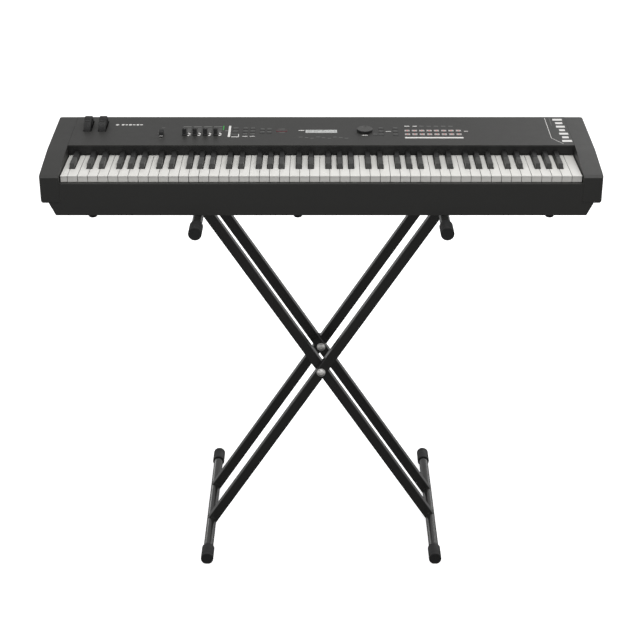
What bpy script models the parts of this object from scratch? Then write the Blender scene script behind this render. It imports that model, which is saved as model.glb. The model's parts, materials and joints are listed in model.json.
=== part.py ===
"""A full-size digital piano resting on a folding double-X stand.

World frame: metres, +Z up, +X to the player's right, the player on the -Y side.
The origin is on the floor under the middle of the object.
Piano pieces are drawn in the piano's own frame: y = 0 at the front edge of the
white keys and z = 0 on their tops. Controls are drawn in the panel's own frame:
y = 0 at the panel's front edge and z = 0 on its sloping surface.
"""

import math

import bmesh
import bpy
from mathutils import Matrix, Vector

# ---------------------------------------------------------------- stand sizes
RAIL_RADIUS = 0.0125
RAIL_WALL = 0.0015
RAIL_SPREAD = 0.292            # x of the floor rails and the top arms
RAIL_HALF_LENGTH = 0.264       # to the tube's end, inside its cap
RAIL_AXIS_Z = 0.0147
ARM_HALF_LENGTH = 0.259
CAP_RADIUS = 0.016
CAP_LENGTH = 0.050
CAP_END = 0.005                # thickness of a cap's closed end
GAP = 0.0003                   # clearance between touching pieces
CUTTER_LENGTH = 0.3            # cutters reach past what they cut

TUBE_WIDTH = 0.025             # leg tube, across the X
TUBE_DEPTH = 0.020             # leg tube, along y
TUBE_WALL = 0.0015
OUTER_TUBE_Y = 0.084
INNER_TUBE_Y = 0.063
TUBE_SETBACK = 0.006           # a leg tube stops this far short of the rail's axis
BOLT_RADIUS = 0.004
BOLT_HEAD_RADIUS = 0.011
BOLT_HEAD_HEIGHT = 0.007
FRONT_BOLT_LENGTH = 0.052
REAR_BOLT_LENGTH = 0.060       # long enough to carry the clamp knob
NUT_RADIUS = 0.0095
NUT_HEIGHT = 0.007
LOCK_KNOB_RADIUS = 0.0135
LOCK_KNOB_LENGTH = 0.020
LOCK_KNOB_LOBES = 6
LOCK_KNOB_LOBE_DEPTH = 0.0012

# ---------------------------------------------------------------- piano sizes
KEY_FRONT_Y = -0.163           # world y of the piano's frame
KEY_TOP_Z = 1.0135             # world z of the piano's frame
CASE_FRONT = -0.014
CASE_REAR = 0.3294
CASE_BOTTOM = -0.0932
SHOULDER_Z = -0.062            # underside of the cheeks
BOTTOM_HALF_WIDTH = 0.625
SHOULDER_HALF_WIDTH = 0.640
CHEEK_OUTER_X = 0.659
CHEEK_INNER_X = 0.6132
INSIDE_HALF_WIDTH = 0.6129     # panel and case walls between the cheeks
SHELL = 0.003
LIP_TOP = -0.015
LIP_REAR = -0.001
PANEL_FRONT = (0.146, 0.0262)
PANEL_REAR = (0.3294, 0.0391)
PANEL_SLOPE = math.atan2(PANEL_REAR[1] - PANEL_FRONT[1], PANEL_REAR[0] - PANEL_FRONT[0])
PANEL_LENGTH = math.hypot(PANEL_REAR[0] - PANEL_FRONT[0], PANEL_REAR[1] - PANEL_FRONT[1])
FALLBOARD_Y = 0.1465           # the wall that the keys run under
FALLBOARD_BOTTOM = 0.001

# ---------------------------------------------------------------- keyboard
KEY_PITCH = 0.02364
KEY_SLOT = 0.001
KEY_HEIGHT = 0.015
WHITE_KEYS = 52
OCTAVES = 7                    # combs of white keys, and of black keys
KEYBOARD_RIGHT = 0.6113
KEYBOARD_LEFT = KEYBOARD_RIGHT - WHITE_KEYS * KEY_PITCH
LOWEST_KEY_LEFT = -0.6108      # the lowest key is narrower, cut off at the left cheek
BLACK_FRONT = 0.050
BLACK_REAR = 0.1458
BLACK_WIDTH = 0.0122
BLACK_TOP = 0.012
BLACK_TOP_FRONT = 0.0545       # the black key's front face leans back to here
BLACK_CLEARANCE = 0.0014       # either side of a black key
COMB_BAR_FRONT = 0.200
COMB_REAR = 0.213
BLACK_BAR = (0.188, -0.0220, -0.0165)
KEY_PIVOT = (0.212, -0.010)
BLACK_OFFSETS = {0: -0.0027, 1: 0.0026, 3: -0.0030, 4: 0.0002, 5: 0.0037}

# ---------------------------------------------------------------- inside the case
FRAME_DECK = -0.040            # the key frame's flat top
FRAME_HALF_WIDTH = 0.611
BOARD_THICKNESS = 0.0016

# ---------------------------------------------------------------- controls
WHEEL_RADIUS = 0.0345
WHEEL_WIDTH = 0.017
WHEEL_DEPTH = -0.0095
WHEEL_Y = 0.1215
WHEEL_XS = {"pitch_wheel": -0.578, "mod_wheel": -0.5417}
WHEEL_SLOT = (0.021, 0.070)
WHEEL_NOTCH_RADIUS = 0.005
SHAFT_RADIUS = 0.003
SHAFT_END = -0.010             # how far the knob shafts reach under the panel
CONTROL_GAP = 0.0006           # between the panel and a knob or cap that moves over it
SLIDER_X = -0.392
SLIDER_Y = 0.063
SLIDER_SLOT = (0.0475, 0.1015)
KNOB_XS = (-0.3358, -0.3104, -0.2849, -0.2595)
KNOB_Y = 0.0655
DIAL_CENTRE = (0.1077, 0.090)
DIAL_RADIUS = 0.0193
DIAL_HEIGHT = 0.007
DISPLAY_CENTRE = (0.0004, 0.0893)
DISPLAY_SIZE = (0.078, 0.020)
BUTTON_RISE = 0.0010
BUTTON_CLEARANCE = 0.0004
MAT_TOP = -0.0038
MAT_THICKNESS = 0.0014
FUNCTION_BUTTONS = (
    [(-0.2115, y, 0.012, 0.006) for y in (0.103, 0.082, 0.0615)]
    + [(x, y, 0.012, 0.006) for x in (-0.187, -0.169) for y in (0.103, 0.0845, 0.066)]
    + [(x, y, 0.012, 0.006) for x in (-0.145, -0.128) for y in (0.098, 0.078)]
    + [(-0.0976, 0.0918, 0.026, 0.011)]
)
NAVIGATION_BUTTONS = (
    [(x, y, 0.013, 0.006) for x in (0.1484, 0.1836) for y in (0.105, 0.0843, 0.0641)]
    + [(0.1330, 0.0641, 0.011, 0.006)]
)
CATEGORY_BUTTONS = (
    [(0.2125 + 0.0181 * i, y, 0.013, 0.008) for i in range(8) for y in (0.0915, 0.0686)]
    + [(0.3575, 0.0857, 0.012, 0.006)]
)
SWITCH_CENTRE = (0.560, -0.020)
SWITCH_SIZE = (0.014, 0.020)
FEET = {
    "foot_front_left": (-0.540, -0.0003),
    "foot_front_middle": (-0.055, -0.0003),
    "foot_front_right": (0.540, -0.0003),
    "foot_rear_left": (-0.540, 0.305),
    "foot_rear_right": (0.540, 0.305),
}
FOOT_RADII = (0.0125, 0.0085)
FOOT_HEIGHT = 0.0077

ROUND_STEPS = 24


# ---------------------------------------------------------------- scene helpers
def clear_scene():
    for item in list(bpy.data.objects):
        bpy.data.objects.remove(item, do_unlink=True)


def make_collection(name):
    collection = bpy.data.collections.new(name)
    bpy.context.scene.collection.children.link(collection)
    return collection


clear_scene()
PARTS = make_collection("digital_piano_on_stand")
CUTTERS = make_collection("cutters")


def make_material(name, colour, roughness, metallic=0.0):
    material = bpy.data.materials.new(name)
    material.use_nodes = True
    shader = material.node_tree.nodes["Principled BSDF"]
    shader.inputs["Base Color"].default_value = (*colour, 1.0)
    shader.inputs["Roughness"].default_value = roughness
    shader.inputs["Metallic"].default_value = metallic
    return material


LOOKS = {
    "black_paint": ((0.020, 0.020, 0.019), 0.42, 0.0),
    "black_rubber": ((0.025, 0.025, 0.026), 0.75, 0.0),
    "zinc": ((0.62, 0.61, 0.58), 0.35, 1.0),
    "case_plastic": ((0.024, 0.024, 0.022), 0.50, 0.0),
    "panel_plastic": ((0.075, 0.073, 0.070), 0.50, 0.0),
    "white_key": ((0.82, 0.81, 0.78), 0.30, 0.0),
    "black_key": ((0.030, 0.030, 0.028), 0.45, 0.0),
    "control_plastic": ((0.018, 0.018, 0.018), 0.55, 0.0),
    "grey_button": ((0.10, 0.10, 0.10), 0.50, 0.0),
    "board": ((0.02, 0.12, 0.05), 0.45, 0.0),
    "screen": ((0.60, 0.61, 0.60), 0.15, 0.0),
    "steel": ((0.45, 0.45, 0.45), 0.35, 1.0),
    "frame_plastic": ((0.30, 0.30, 0.29), 0.60, 0.0),
}


def look(node, kind):
    """Each node has its own material, in one of the shared looks."""
    colour, roughness, metallic = LOOKS[kind]
    return make_material(node, colour, roughness, metallic)


def add_empty(name, location, slope=0.0, parent=None):
    empty = bpy.data.objects.new(name, None)
    empty.empty_display_size = 0.02
    empty.location = location
    empty.rotation_euler = (slope, 0.0, 0.0)
    empty.parent = parent
    PARTS.objects.link(empty)
    return empty


def add_node(name, mesh, kind, parent=None, origin=(0.0, 0.0, 0.0), smooth=None):
    """Link a mesh as a node. Its points are in the parent's frame; its origin goes to origin."""
    mesh.name = name
    mesh.transform(Matrix.Translation(-Vector(origin)))
    node = bpy.data.objects.new(name, mesh)
    node.location = origin
    node.parent = parent
    node.data.materials.append(look(name, kind))
    if smooth is not None:
        mesh.shade_smooth()
        mesh.set_sharp_from_angle(angle=math.radians(smooth))
    PARTS.objects.link(node)
    return node


def add_cutter(name, mesh, parent=None):
    cutter = bpy.data.objects.new(name, mesh)
    cutter.parent = parent
    cutter.hide_render = True
    cutter.display_type = "WIRE"
    CUTTERS.objects.link(cutter)
    return cutter


def combine(node, operand, operation):
    modifier = node.modifiers.new(operation.lower() + "_" + operand.name, "BOOLEAN")
    modifier.operation = operation
    modifier.solver = "EXACT"
    modifier.object = operand


# ---------------------------------------------------------------- mesh helpers
def mesh_from(build):
    """Run build(bm) on a new bmesh and return it as a mesh."""
    bm = bmesh.new()
    build(bm)
    mesh = bpy.data.meshes.new("piece")
    bm.to_mesh(mesh)
    bm.free()
    return mesh


def box_into(bm, low, high):
    size = [h - l for l, h in zip(low, high)]
    centre = [(h + l) / 2 for l, h in zip(low, high)]
    bmesh.ops.create_cube(bm, size=1.0, matrix=Matrix.LocRotScale(centre, None, size))


def boxes(*corners):
    """One mesh of separate boxes, each given by its lowest and highest corner."""
    def build(bm):
        for low, high in corners:
            box_into(bm, low, high)
    return mesh_from(build)


ALONG = {
    "x": Matrix.Rotation(math.pi / 2, 4, "Y"),
    "y": Matrix.Rotation(-math.pi / 2, 4, "X"),
    "z": Matrix.Identity(4),
}


def cylinder(axis, centre, radius, length, steps=ROUND_STEPS, end_radius=None):
    """A cylinder, or a cone whose far end has end_radius, along x, y or z."""
    def build(bm):
        bmesh.ops.create_cone(
            bm,
            cap_ends=True,
            segments=steps,
            radius1=radius,
            radius2=radius if end_radius is None else end_radius,
            depth=length,
            matrix=Matrix.Translation(centre) @ ALONG[axis],
        )
    return mesh_from(build)


def extrude_outline(loops, length):
    """Extrude a flat outline in XY, with holes for its inner loops, over z = 0 to length."""
    curve = bpy.data.curves.new("outline", "CURVE")
    curve.dimensions = "2D"
    curve.fill_mode = "BOTH"
    curve.extrude = length / 2
    for loop in loops:
        spline = curve.splines.new("POLY")
        spline.points.add(len(loop) - 1)
        for point, (u, v) in zip(spline.points, loop):
            point.co = (u, v, 0.0, 1.0)
        spline.use_cyclic_u = True
    holder = bpy.data.objects.new("outline", curve)
    bpy.context.scene.collection.objects.link(holder)
    evaluated = holder.evaluated_get(bpy.context.evaluated_depsgraph_get())
    mesh = bpy.data.meshes.new_from_object(evaluated)
    bpy.data.objects.remove(holder)
    bpy.data.curves.remove(curve)
    bm = bmesh.new()
    bm.from_mesh(mesh)
    bmesh.ops.remove_doubles(bm, verts=bm.verts, dist=0.00001)
    bmesh.ops.translate(bm, verts=bm.verts, vec=(0.0, 0.0, length / 2))
    bmesh.ops.recalc_face_normals(bm, faces=bm.faces)
    bm.to_mesh(mesh)
    bm.free()
    return mesh


# An outline's (u, v) become (y, z) and its length runs along +x.
SIDE_VIEW = Matrix(((0, 0, 1, 0), (1, 0, 0, 0), (0, 1, 0, 0), (0, 0, 0, 1)))
# An outline's (u, v) become (x, z) and its length runs along -y.
FRONT_VIEW = Matrix(((1, 0, 0, 0), (0, 0, -1, 0), (0, 1, 0, 0), (0, 0, 0, 1)))


def side_prism(outline, low_x, high_x):
    mesh = extrude_outline([outline], high_x - low_x)
    mesh.transform(Matrix.Translation((low_x, 0, 0)) @ SIDE_VIEW)
    return mesh


def front_prism(outline, low_y, high_y):
    mesh = extrude_outline([outline], high_y - low_y)
    mesh.transform(Matrix.Translation((0, high_y, 0)) @ FRONT_VIEW)
    return mesh


def top_prism(loops, low_z, high_z):
    mesh = extrude_outline(loops, high_z - low_z)
    mesh.transform(Matrix.Translation((0, 0, low_z)))
    return mesh


def circle(centre, radius, steps=16):
    turns = [2 * math.pi * i / steps for i in range(steps)]
    return [(centre[0] + radius * math.cos(t), centre[1] + radius * math.sin(t)) for t in turns]


def rectangle(centre, size):
    (x, y), (w, d) = centre, (size[0] / 2, size[1] / 2)
    return [(x - w, y - d), (x + w, y - d), (x + w, y + d), (x - w, y + d)]


def merge_meshes(meshes):
    """One mesh that holds all of them, still as separate bodies."""
    def build(bm):
        for mesh in meshes:
            bm.from_mesh(mesh)
    return mesh_from(build)


def turned(profile, steps=ROUND_STEPS):
    """Turn an (r, z) profile, drawn from the top down its outer side, about z."""
    mesh = bpy.data.meshes.new("profile")
    edges = [(i, i + 1) for i in range(len(profile) - 1)]
    mesh.from_pydata([(r, 0.0, z) for r, z in profile], edges, [])
    holder = bpy.data.objects.new("profile", mesh)
    bpy.context.scene.collection.objects.link(holder)
    screw = holder.modifiers.new("turn", "SCREW")
    screw.steps = steps
    screw.render_steps = steps
    screw.use_merge_vertices = True
    screw.merge_threshold = 0.00001
    evaluated = holder.evaluated_get(bpy.context.evaluated_depsgraph_get())
    result = bpy.data.meshes.new_from_object(evaluated)
    bpy.data.objects.remove(holder)
    bpy.data.meshes.remove(mesh)
    bm = bmesh.new()
    bm.from_mesh(result)
    bmesh.ops.remove_doubles(bm, verts=bm.verts, dist=0.00001)
    bmesh.ops.recalc_face_normals(bm, faces=bm.faces)
    bm.to_mesh(result)
    bm.free()
    return result


# ---------------------------------------------------------------- the stand
ARM_AXIS_Z = KEY_TOP_Z + CASE_BOTTOM - GAP - RAIL_RADIUS
PIVOT_Z = (RAIL_AXIS_Z + ARM_AXIS_Z) / 2
LEG_HALF_LENGTH = math.hypot(RAIL_SPREAD, PIVOT_Z - RAIL_AXIS_Z)
LEG_LEAN = math.atan2(RAIL_SPREAD, PIVOT_Z - RAIL_AXIS_Z)


def round_tube(name, x, z, half_length):
    """A round steel tube along y. It turns about its own axis, so its origin is there."""
    loops = [circle((0, 0), RAIL_RADIUS, ROUND_STEPS),
             circle((0, 0), RAIL_RADIUS - RAIL_WALL, ROUND_STEPS)]
    mesh = extrude_outline(loops, 2 * half_length)
    mesh.transform(Matrix.Translation((x, half_length, z)) @ FRONT_VIEW)
    return add_node(name, mesh, "black_paint", origin=(x, 0, z), smooth=30)


def end_cap(name, x, z, tube_end, side):
    """A rubber cup over a tube's end; side is -1 for the front end and 1 for the rear."""
    bore = RAIL_RADIUS + GAP
    edge = 0.002
    profile = [
        (0.0, CAP_LENGTH),
        (CAP_RADIUS - 2 * edge, CAP_LENGTH),
        (CAP_RADIUS - edge / 2, CAP_LENGTH - edge / 2),
        (CAP_RADIUS, CAP_LENGTH - edge),
        (CAP_RADIUS, 0.0),
        (bore, 0.0),
        (bore, CAP_LENGTH - CAP_END),
        (0.0, CAP_LENGTH - CAP_END),
    ]
    mesh = turned(profile)
    face = side * (tube_end + CAP_END + GAP - CAP_LENGTH)
    turn = Matrix.Rotation(-side * math.pi / 2, 4, "X")
    mesh.transform(Matrix.Translation((x, face, z)) @ turn)
    return add_node(name, mesh, "black_rubber", origin=(x, face, z), smooth=30)


def leg_tube(name, y, lean):
    """A straight rectangular tube between a floor rail and the top arm on the other side."""
    inner = (TUBE_WIDTH - 2 * TUBE_WALL, TUBE_DEPTH - 2 * TUBE_WALL)
    loops = [rectangle((0, 0), (TUBE_WIDTH, TUBE_DEPTH)), rectangle((0, 0), inner)]
    half = LEG_HALF_LENGTH - TUBE_SETBACK
    mesh = extrude_outline(loops, 2 * half)
    mesh.transform(Matrix.Translation((0, 0, -half)))
    node = add_node(name, mesh, "black_paint")
    node.rotation_euler = (0.0, lean, 0.0)
    node.location = (0.0, y, PIVOT_Z)
    return node


def pivot_bolt(name, head_y, length):
    """A bolt along +y with a domed hexagon head in front of head_y."""
    head = cylinder("y", (0, head_y - BOLT_HEAD_HEIGHT / 2, PIVOT_Z), BOLT_HEAD_RADIUS,
                    BOLT_HEAD_HEIGHT, steps=ROUND_STEPS)
    bolt = add_node(name, head, "zinc", origin=(0, head_y, PIVOT_Z), smooth=30)
    shank_start = head_y - BOLT_HEAD_HEIGHT / 2
    shank_length = length + BOLT_HEAD_HEIGHT / 2
    shank = cylinder("y", (0, shank_start + shank_length / 2, PIVOT_Z), BOLT_RADIUS, shank_length)
    combine(bolt, add_cutter(name + "_shank", shank), "UNION")
    return bolt


def lock_knob(name, face_y):
    """A lobed clamp knob on the end of the rear pivot bolt."""
    points = 8 * LOCK_KNOB_LOBES
    outline = []
    for i in range(points):
        turn = 2 * math.pi * i / points
        radius = LOCK_KNOB_RADIUS - LOCK_KNOB_LOBE_DEPTH * (1 - math.cos(LOCK_KNOB_LOBES * turn)) / 2
        outline.append((radius * math.cos(turn), radius * math.sin(turn)))
    bore = circle((0, 0), BOLT_RADIUS + GAP, ROUND_STEPS)
    mesh = extrude_outline([outline, bore], LOCK_KNOB_LENGTH)
    mesh.transform(Matrix.Translation((0, face_y + LOCK_KNOB_LENGTH, PIVOT_Z)) @ FRONT_VIEW)
    return add_node(name, mesh, "black_rubber", origin=(0, face_y, PIVOT_Z), smooth=40)


def build_stand():
    rails = {
        "left_floor_rail": (-RAIL_SPREAD, RAIL_AXIS_Z, RAIL_HALF_LENGTH),
        "right_floor_rail": (RAIL_SPREAD, RAIL_AXIS_Z, RAIL_HALF_LENGTH),
        "left_top_arm": (-RAIL_SPREAD, ARM_AXIS_Z, ARM_HALF_LENGTH),
        "right_top_arm": (RAIL_SPREAD, ARM_AXIS_Z, ARM_HALF_LENGTH),
    }
    floor = add_cutter("floor", boxes(((-0.4, -0.4, -0.05), (0.4, 0.4, 0.0))))
    copes = []
    for name, (x, z, half_length) in rails.items():
        round_tube(name, x, z, half_length)
        short = name.replace("_rail", "").replace("top_", "")
        for end, side in (("front", -1), ("rear", 1)):
            cap = end_cap(short + "_cap_" + end, x, z, half_length, side)
            if z == RAIL_AXIS_Z:
                combine(cap, floor, "DIFFERENCE")
        copes.append(cylinder("y", (x, 0, z), RAIL_RADIUS + 2 * GAP, CUTTER_LENGTH))
    copes = add_cutter("copes", merge_meshes(copes))
    bore = add_cutter("pivot_bore", cylinder("y", (0, 0, PIVOT_Z), BOLT_RADIUS + GAP, CUTTER_LENGTH))
    tubes = {
        "outer_front_tube": (-OUTER_TUBE_Y, LEG_LEAN),
        "outer_rear_tube": (OUTER_TUBE_Y, LEG_LEAN),
        "inner_front_tube": (-INNER_TUBE_Y, -LEG_LEAN),
        "inner_rear_tube": (INNER_TUBE_Y, -LEG_LEAN),
    }
    for name, (y, lean) in tubes.items():
        tube = leg_tube(name, y, lean)
        combine(tube, copes, "DIFFERENCE")
        combine(tube, bore, "DIFFERENCE")
    half = TUBE_DEPTH / 2
    pivot_bolt("front_pivot_bolt", -OUTER_TUBE_Y - half - GAP, FRONT_BOLT_LENGTH)
    pivot_bolt("rear_pivot_bolt", INNER_TUBE_Y - half - GAP, REAR_BOLT_LENGTH)
    nut_face = -INNER_TUBE_Y + half + GAP
    nut = extrude_outline([circle((0, 0), NUT_RADIUS, 6),
                           circle((0, 0), BOLT_RADIUS + GAP, ROUND_STEPS)], NUT_HEIGHT)
    nut.transform(Matrix.Translation((0, nut_face + NUT_HEIGHT, PIVOT_Z)) @ FRONT_VIEW)
    add_node("front_pivot_nut", nut, "zinc", origin=(0, nut_face, PIVOT_Z))
    lock_knob("rear_lock_knob", OUTER_TUBE_Y + half + GAP)


# ---------------------------------------------------------------- the piano's case
PIANO = add_empty("piano_frame", (0.0, KEY_FRONT_Y, KEY_TOP_Z))
PANEL = add_empty("panel_frame", (0.0, *PANEL_FRONT), slope=PANEL_SLOPE, parent=PIANO)


def build_lower_case():
    """The bottom tray, with the front wall and its lip, and the rear wall."""
    outer = [(-BOTTOM_HALF_WIDTH, CASE_BOTTOM), (BOTTOM_HALF_WIDTH, CASE_BOTTOM),
             (SHOULDER_HALF_WIDTH, SHOULDER_Z - GAP), (-SHOULDER_HALF_WIDTH, SHOULDER_Z - GAP)]
    inner = [(-BOTTOM_HALF_WIDTH + SHELL, CASE_BOTTOM + SHELL),
             (BOTTOM_HALF_WIDTH - SHELL, CASE_BOTTOM + SHELL),
             (SHOULDER_HALF_WIDTH - SHELL, SHOULDER_Z + SHELL),
             (-SHOULDER_HALF_WIDTH + SHELL, SHOULDER_Z + SHELL)]
    case = add_node("lower_case", front_prism(outer, CASE_FRONT, CASE_REAR), "case_plastic",
                    parent=PIANO)
    hollow = front_prism(inner, CASE_FRONT + SHELL, CASE_REAR - SHELL)
    combine(case, add_cutter("tray_hollow", hollow, PIANO), "DIFFERENCE")
    root = SHOULDER_Z - 0.010
    front_wall = [(CASE_FRONT, root), (CASE_FRONT + SHELL, root),
                  (CASE_FRONT + SHELL, LIP_TOP - SHELL), (LIP_REAR, LIP_TOP - SHELL),
                  (LIP_REAR, LIP_TOP), (CASE_FRONT, LIP_TOP)]
    front = side_prism(front_wall, -INSIDE_HALF_WIDTH, INSIDE_HALF_WIDTH)
    combine(case, add_cutter("front_wall", front, PIANO), "UNION")
    rear_top = PANEL_REAR[1] - SHELL / math.cos(PANEL_SLOPE) - 2 * GAP
    rear = boxes(((-INSIDE_HALF_WIDTH, CASE_REAR - SHELL, root),
                  (INSIDE_HALF_WIDTH, CASE_REAR, rear_top)))
    combine(case, add_cutter("rear_wall", rear, PIANO), "UNION")
    x, z = SWITCH_CENTRE
    w, h = (size / 2 + BUTTON_CLEARANCE for size in SWITCH_SIZE)
    window = boxes(((x - w, CASE_REAR - 0.02, z - h), (x + w, CASE_REAR + 0.02, z + h)))
    combine(case, add_cutter("switch_window", window, PIANO), "DIFFERENCE")


def panel_holes():
    holes = [rectangle((x, WHEEL_Y), WHEEL_SLOT) for x in WHEEL_XS.values()]
    slot_middle = sum(SLIDER_SLOT) / 2
    holes.append(rectangle((SLIDER_X, slot_middle), (0.0032, SLIDER_SLOT[1] - SLIDER_SLOT[0])))
    holes += [circle((x, KNOB_Y), SHAFT_RADIUS + 0.0005, 12) for x in KNOB_XS]
    holes.append(circle(DIAL_CENTRE, SHAFT_RADIUS + 0.0005, 12))
    rim = 2 * BUTTON_CLEARANCE
    holes.append(rectangle(DISPLAY_CENTRE, (DISPLAY_SIZE[0] + rim, DISPLAY_SIZE[1] + rim)))
    for x, y, w, d in FUNCTION_BUTTONS + NAVIGATION_BUTTONS + CATEGORY_BUTTONS:
        holes.append(rectangle((x, y), (w + rim, d + rim)))
    return holes


def build_upper_case():
    """The sloping control panel and the wall under its front edge."""
    plate = boxes(((-INSIDE_HALF_WIDTH, 0.0, -SHELL), (INSIDE_HALF_WIDTH, PANEL_LENGTH, 0.0)))
    panel = add_node("upper_case", plate, "panel_plastic", parent=PANEL)
    reach = INSIDE_HALF_WIDTH - GAP
    wall = boxes(((-reach, FALLBOARD_Y, FALLBOARD_BOTTOM),
                  (reach, FALLBOARD_Y + SHELL, PANEL_FRONT[1] - 0.001)))
    combine(panel, add_cutter("key_wall", wall, PIANO), "UNION")
    holes = merge_meshes([top_prism([hole], -2 * SHELL, SHELL) for hole in panel_holes()])
    combine(panel, add_cutter("panel_windows", holes, PANEL), "DIFFERENCE")


def cheek_outline(inset):
    """The cheek's side view, drawn inset from its skin."""
    bottom = SHOULDER_Z + inset
    down = inset / math.cos(PANEL_SLOPE)
    return [
        (CASE_FRONT + inset, bottom),
        (CASE_REAR - inset, bottom),
        (CASE_REAR - inset, PANEL_REAR[1] - down),
        (0.126, PANEL_FRONT[1] - 0.020 * math.tan(PANEL_SLOPE) - down),
        (0.108, 0.0225 - down),
        (0.092, 0.0200 - down),
        (-0.004 + inset / 2, 0.0047 - down),
        (CASE_FRONT + inset, -down),
    ]


def cheek_plan(inset, low_x):
    """The cheek's plan, for the right-hand side, with rounded outer corners."""
    front_radius, rear_radius = 0.009, 0.005
    points = [(low_x, CASE_FRONT + inset)]
    corners = ((CASE_FRONT + front_radius, front_radius, -90), (CASE_REAR - rear_radius, rear_radius, 0))
    for centre_y, radius, start in corners:
        for i in range(6):
            turn = math.radians(start + 18 * i)
            reach = radius - inset
            points.append((CHEEK_OUTER_X - radius + reach * math.cos(turn),
                           centre_y + reach * math.sin(turn)))
    points.append((low_x, CASE_REAR - inset))
    return points


def build_cheek(name, side):
    """A hollow end block with a window into the case. side is 1 right and -1 left."""
    def solid(inset, low_x):
        body = side_prism(cheek_outline(inset), low_x - 0.001 if inset == 0 else low_x, 0.70)
        plan = cheek_plan(inset, low_x)
        if side < 0:
            body.transform(Matrix.Scale(-1, 4, (1, 0, 0)))
            body.flip_normals()
            plan = [(-x, y) for x, y in reversed(plan)]
        return body, top_prism([plan], -0.15, 0.10)
    body, plan = solid(0.0, CHEEK_INNER_X)
    cheek = add_node(name, body, "panel_plastic", parent=PIANO)
    combine(cheek, add_cutter(name + "_plan", plan, PIANO), "INTERSECT")
    hollow, hollow_plan = solid(SHELL, CHEEK_INNER_X + SHELL)
    hollow_cutter = add_cutter(name + "_hollow", hollow, PIANO)
    combine(hollow_cutter, add_cutter(name + "_hollow_plan", hollow_plan, PIANO), "INTERSECT")
    combine(cheek, hollow_cutter, "DIFFERENCE")
    near, far = sorted((side * (CHEEK_INNER_X - SHELL), side * (CHEEK_INNER_X + 2 * SHELL)))
    window = boxes(((near, 0.010, -0.056), (far, 0.300, -0.022)))
    combine(cheek, add_cutter(name + "_window", window, PIANO), "DIFFERENCE")


def build_inside():
    """The key frame and the circuit boards."""
    floor = CASE_BOTTOM + SHELL + GAP
    front, front_post, rear_post, rear = 0.002, 0.014, 0.206, 0.218
    deck, rest_top, bar_top = FRAME_DECK, FRAME_DECK + 0.0125, FRAME_DECK + 0.0173
    frame = [
        (front, floor), (front + SHELL, floor), (front + SHELL, deck - SHELL),
        (rear - SHELL, deck - SHELL), (rear - SHELL, floor), (rear, floor), (rear, bar_top),
        (rear_post, bar_top), (rear_post, deck), (front_post, deck), (front_post, rest_top),
        (front, rest_top),
    ]
    add_node("key_frame", side_prism(frame, -FRAME_HALF_WIDTH, FRAME_HALF_WIDTH), "frame_plastic",
             parent=PIANO)
    contact_half, contact_front, contact_rear = 0.605, 0.060, 0.145
    contacts = boxes(((-contact_half, contact_front, deck + GAP),
                      (contact_half, contact_rear, deck + BOARD_THICKNESS)))
    add_node("contact_board", contacts, "board", parent=PIANO)
    board_half, board_front, board_rear, board_z = 0.260, 0.236, 0.318, -0.0800
    plate = boxes(((-board_half, board_front, board_z), (board_half, board_rear, board_z + BOARD_THICKNESS)))
    board = add_node("main_board", plate, "board", parent=PIANO)
    post, from_edge = 0.003, 0.008
    posts = [((x - post, y - post, floor), (x + post, y + post, board_z + BOARD_THICKNESS / 2))
             for x in (-0.250, 0.0, 0.250) for y in (board_front + from_edge, board_rear - from_edge)]
    combine(board, add_cutter("board_posts", boxes(*posts), PIANO), "UNION")
    x, y = DISPLAY_CENTRE
    w, d = DISPLAY_SIZE[0] / 2, DISPLAY_SIZE[1] / 2
    pane = boxes(((x - w, y - d, -0.006), (x + w, y + d, -BUTTON_CLEARANCE)))
    display = add_node("display", pane, "screen", parent=PANEL)
    side, end = 0.005, 0.004
    module = boxes(((x - w - side, y - d - end, -0.011), (x + w + side, y + d + end, -SHELL - 0.0004)))
    combine(display, add_cutter("display_module", module, PANEL), "UNION")


def build_feet():
    top = CASE_BOTTOM - GAP
    for name, (x, y) in FEET.items():
        base, tip = FOOT_RADII
        profile = [(0.0, top), (base, top), (base - 0.0008, top - 0.0025),
                   (tip + 0.0012, top - FOOT_HEIGHT + 0.0012), (tip, top - FOOT_HEIGHT),
                   (0.0, top - FOOT_HEIGHT)]
        mesh = turned(profile, 20)
        mesh.transform(Matrix.Translation((x, y, 0)))
        add_node(name, mesh, "black_rubber", parent=PIANO, origin=(x, y, top), smooth=30)


# ---------------------------------------------------------------- the keyboard
# White keys from the bottom A: the number of the white key decides its note,
# and a black key stands on the line after notes C, D, F, G and A.
def note_of(white):
    return (white + 5) % 7


def black_after(white):
    """x of the black key after this white key, or None where there is none."""
    note = note_of(white)
    if note not in BLACK_OFFSETS or white >= WHITE_KEYS - 1:
        return None
    return KEYBOARD_LEFT + (white + 1) * KEY_PITCH + BLACK_OFFSETS[note]


def octave_of(white):
    """Which comb a white key belongs to; the two lowest and the highest join their neighbours."""
    return min(max((white - 2) // 7, 0), OCTAVES - 1)


def white_sides(white):
    """x of a white key's left and right sides."""
    low = KEYBOARD_LEFT + white * KEY_PITCH + KEY_SLOT / 2
    return max(low, LOWEST_KEY_LEFT), low + KEY_PITCH - KEY_SLOT


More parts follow.
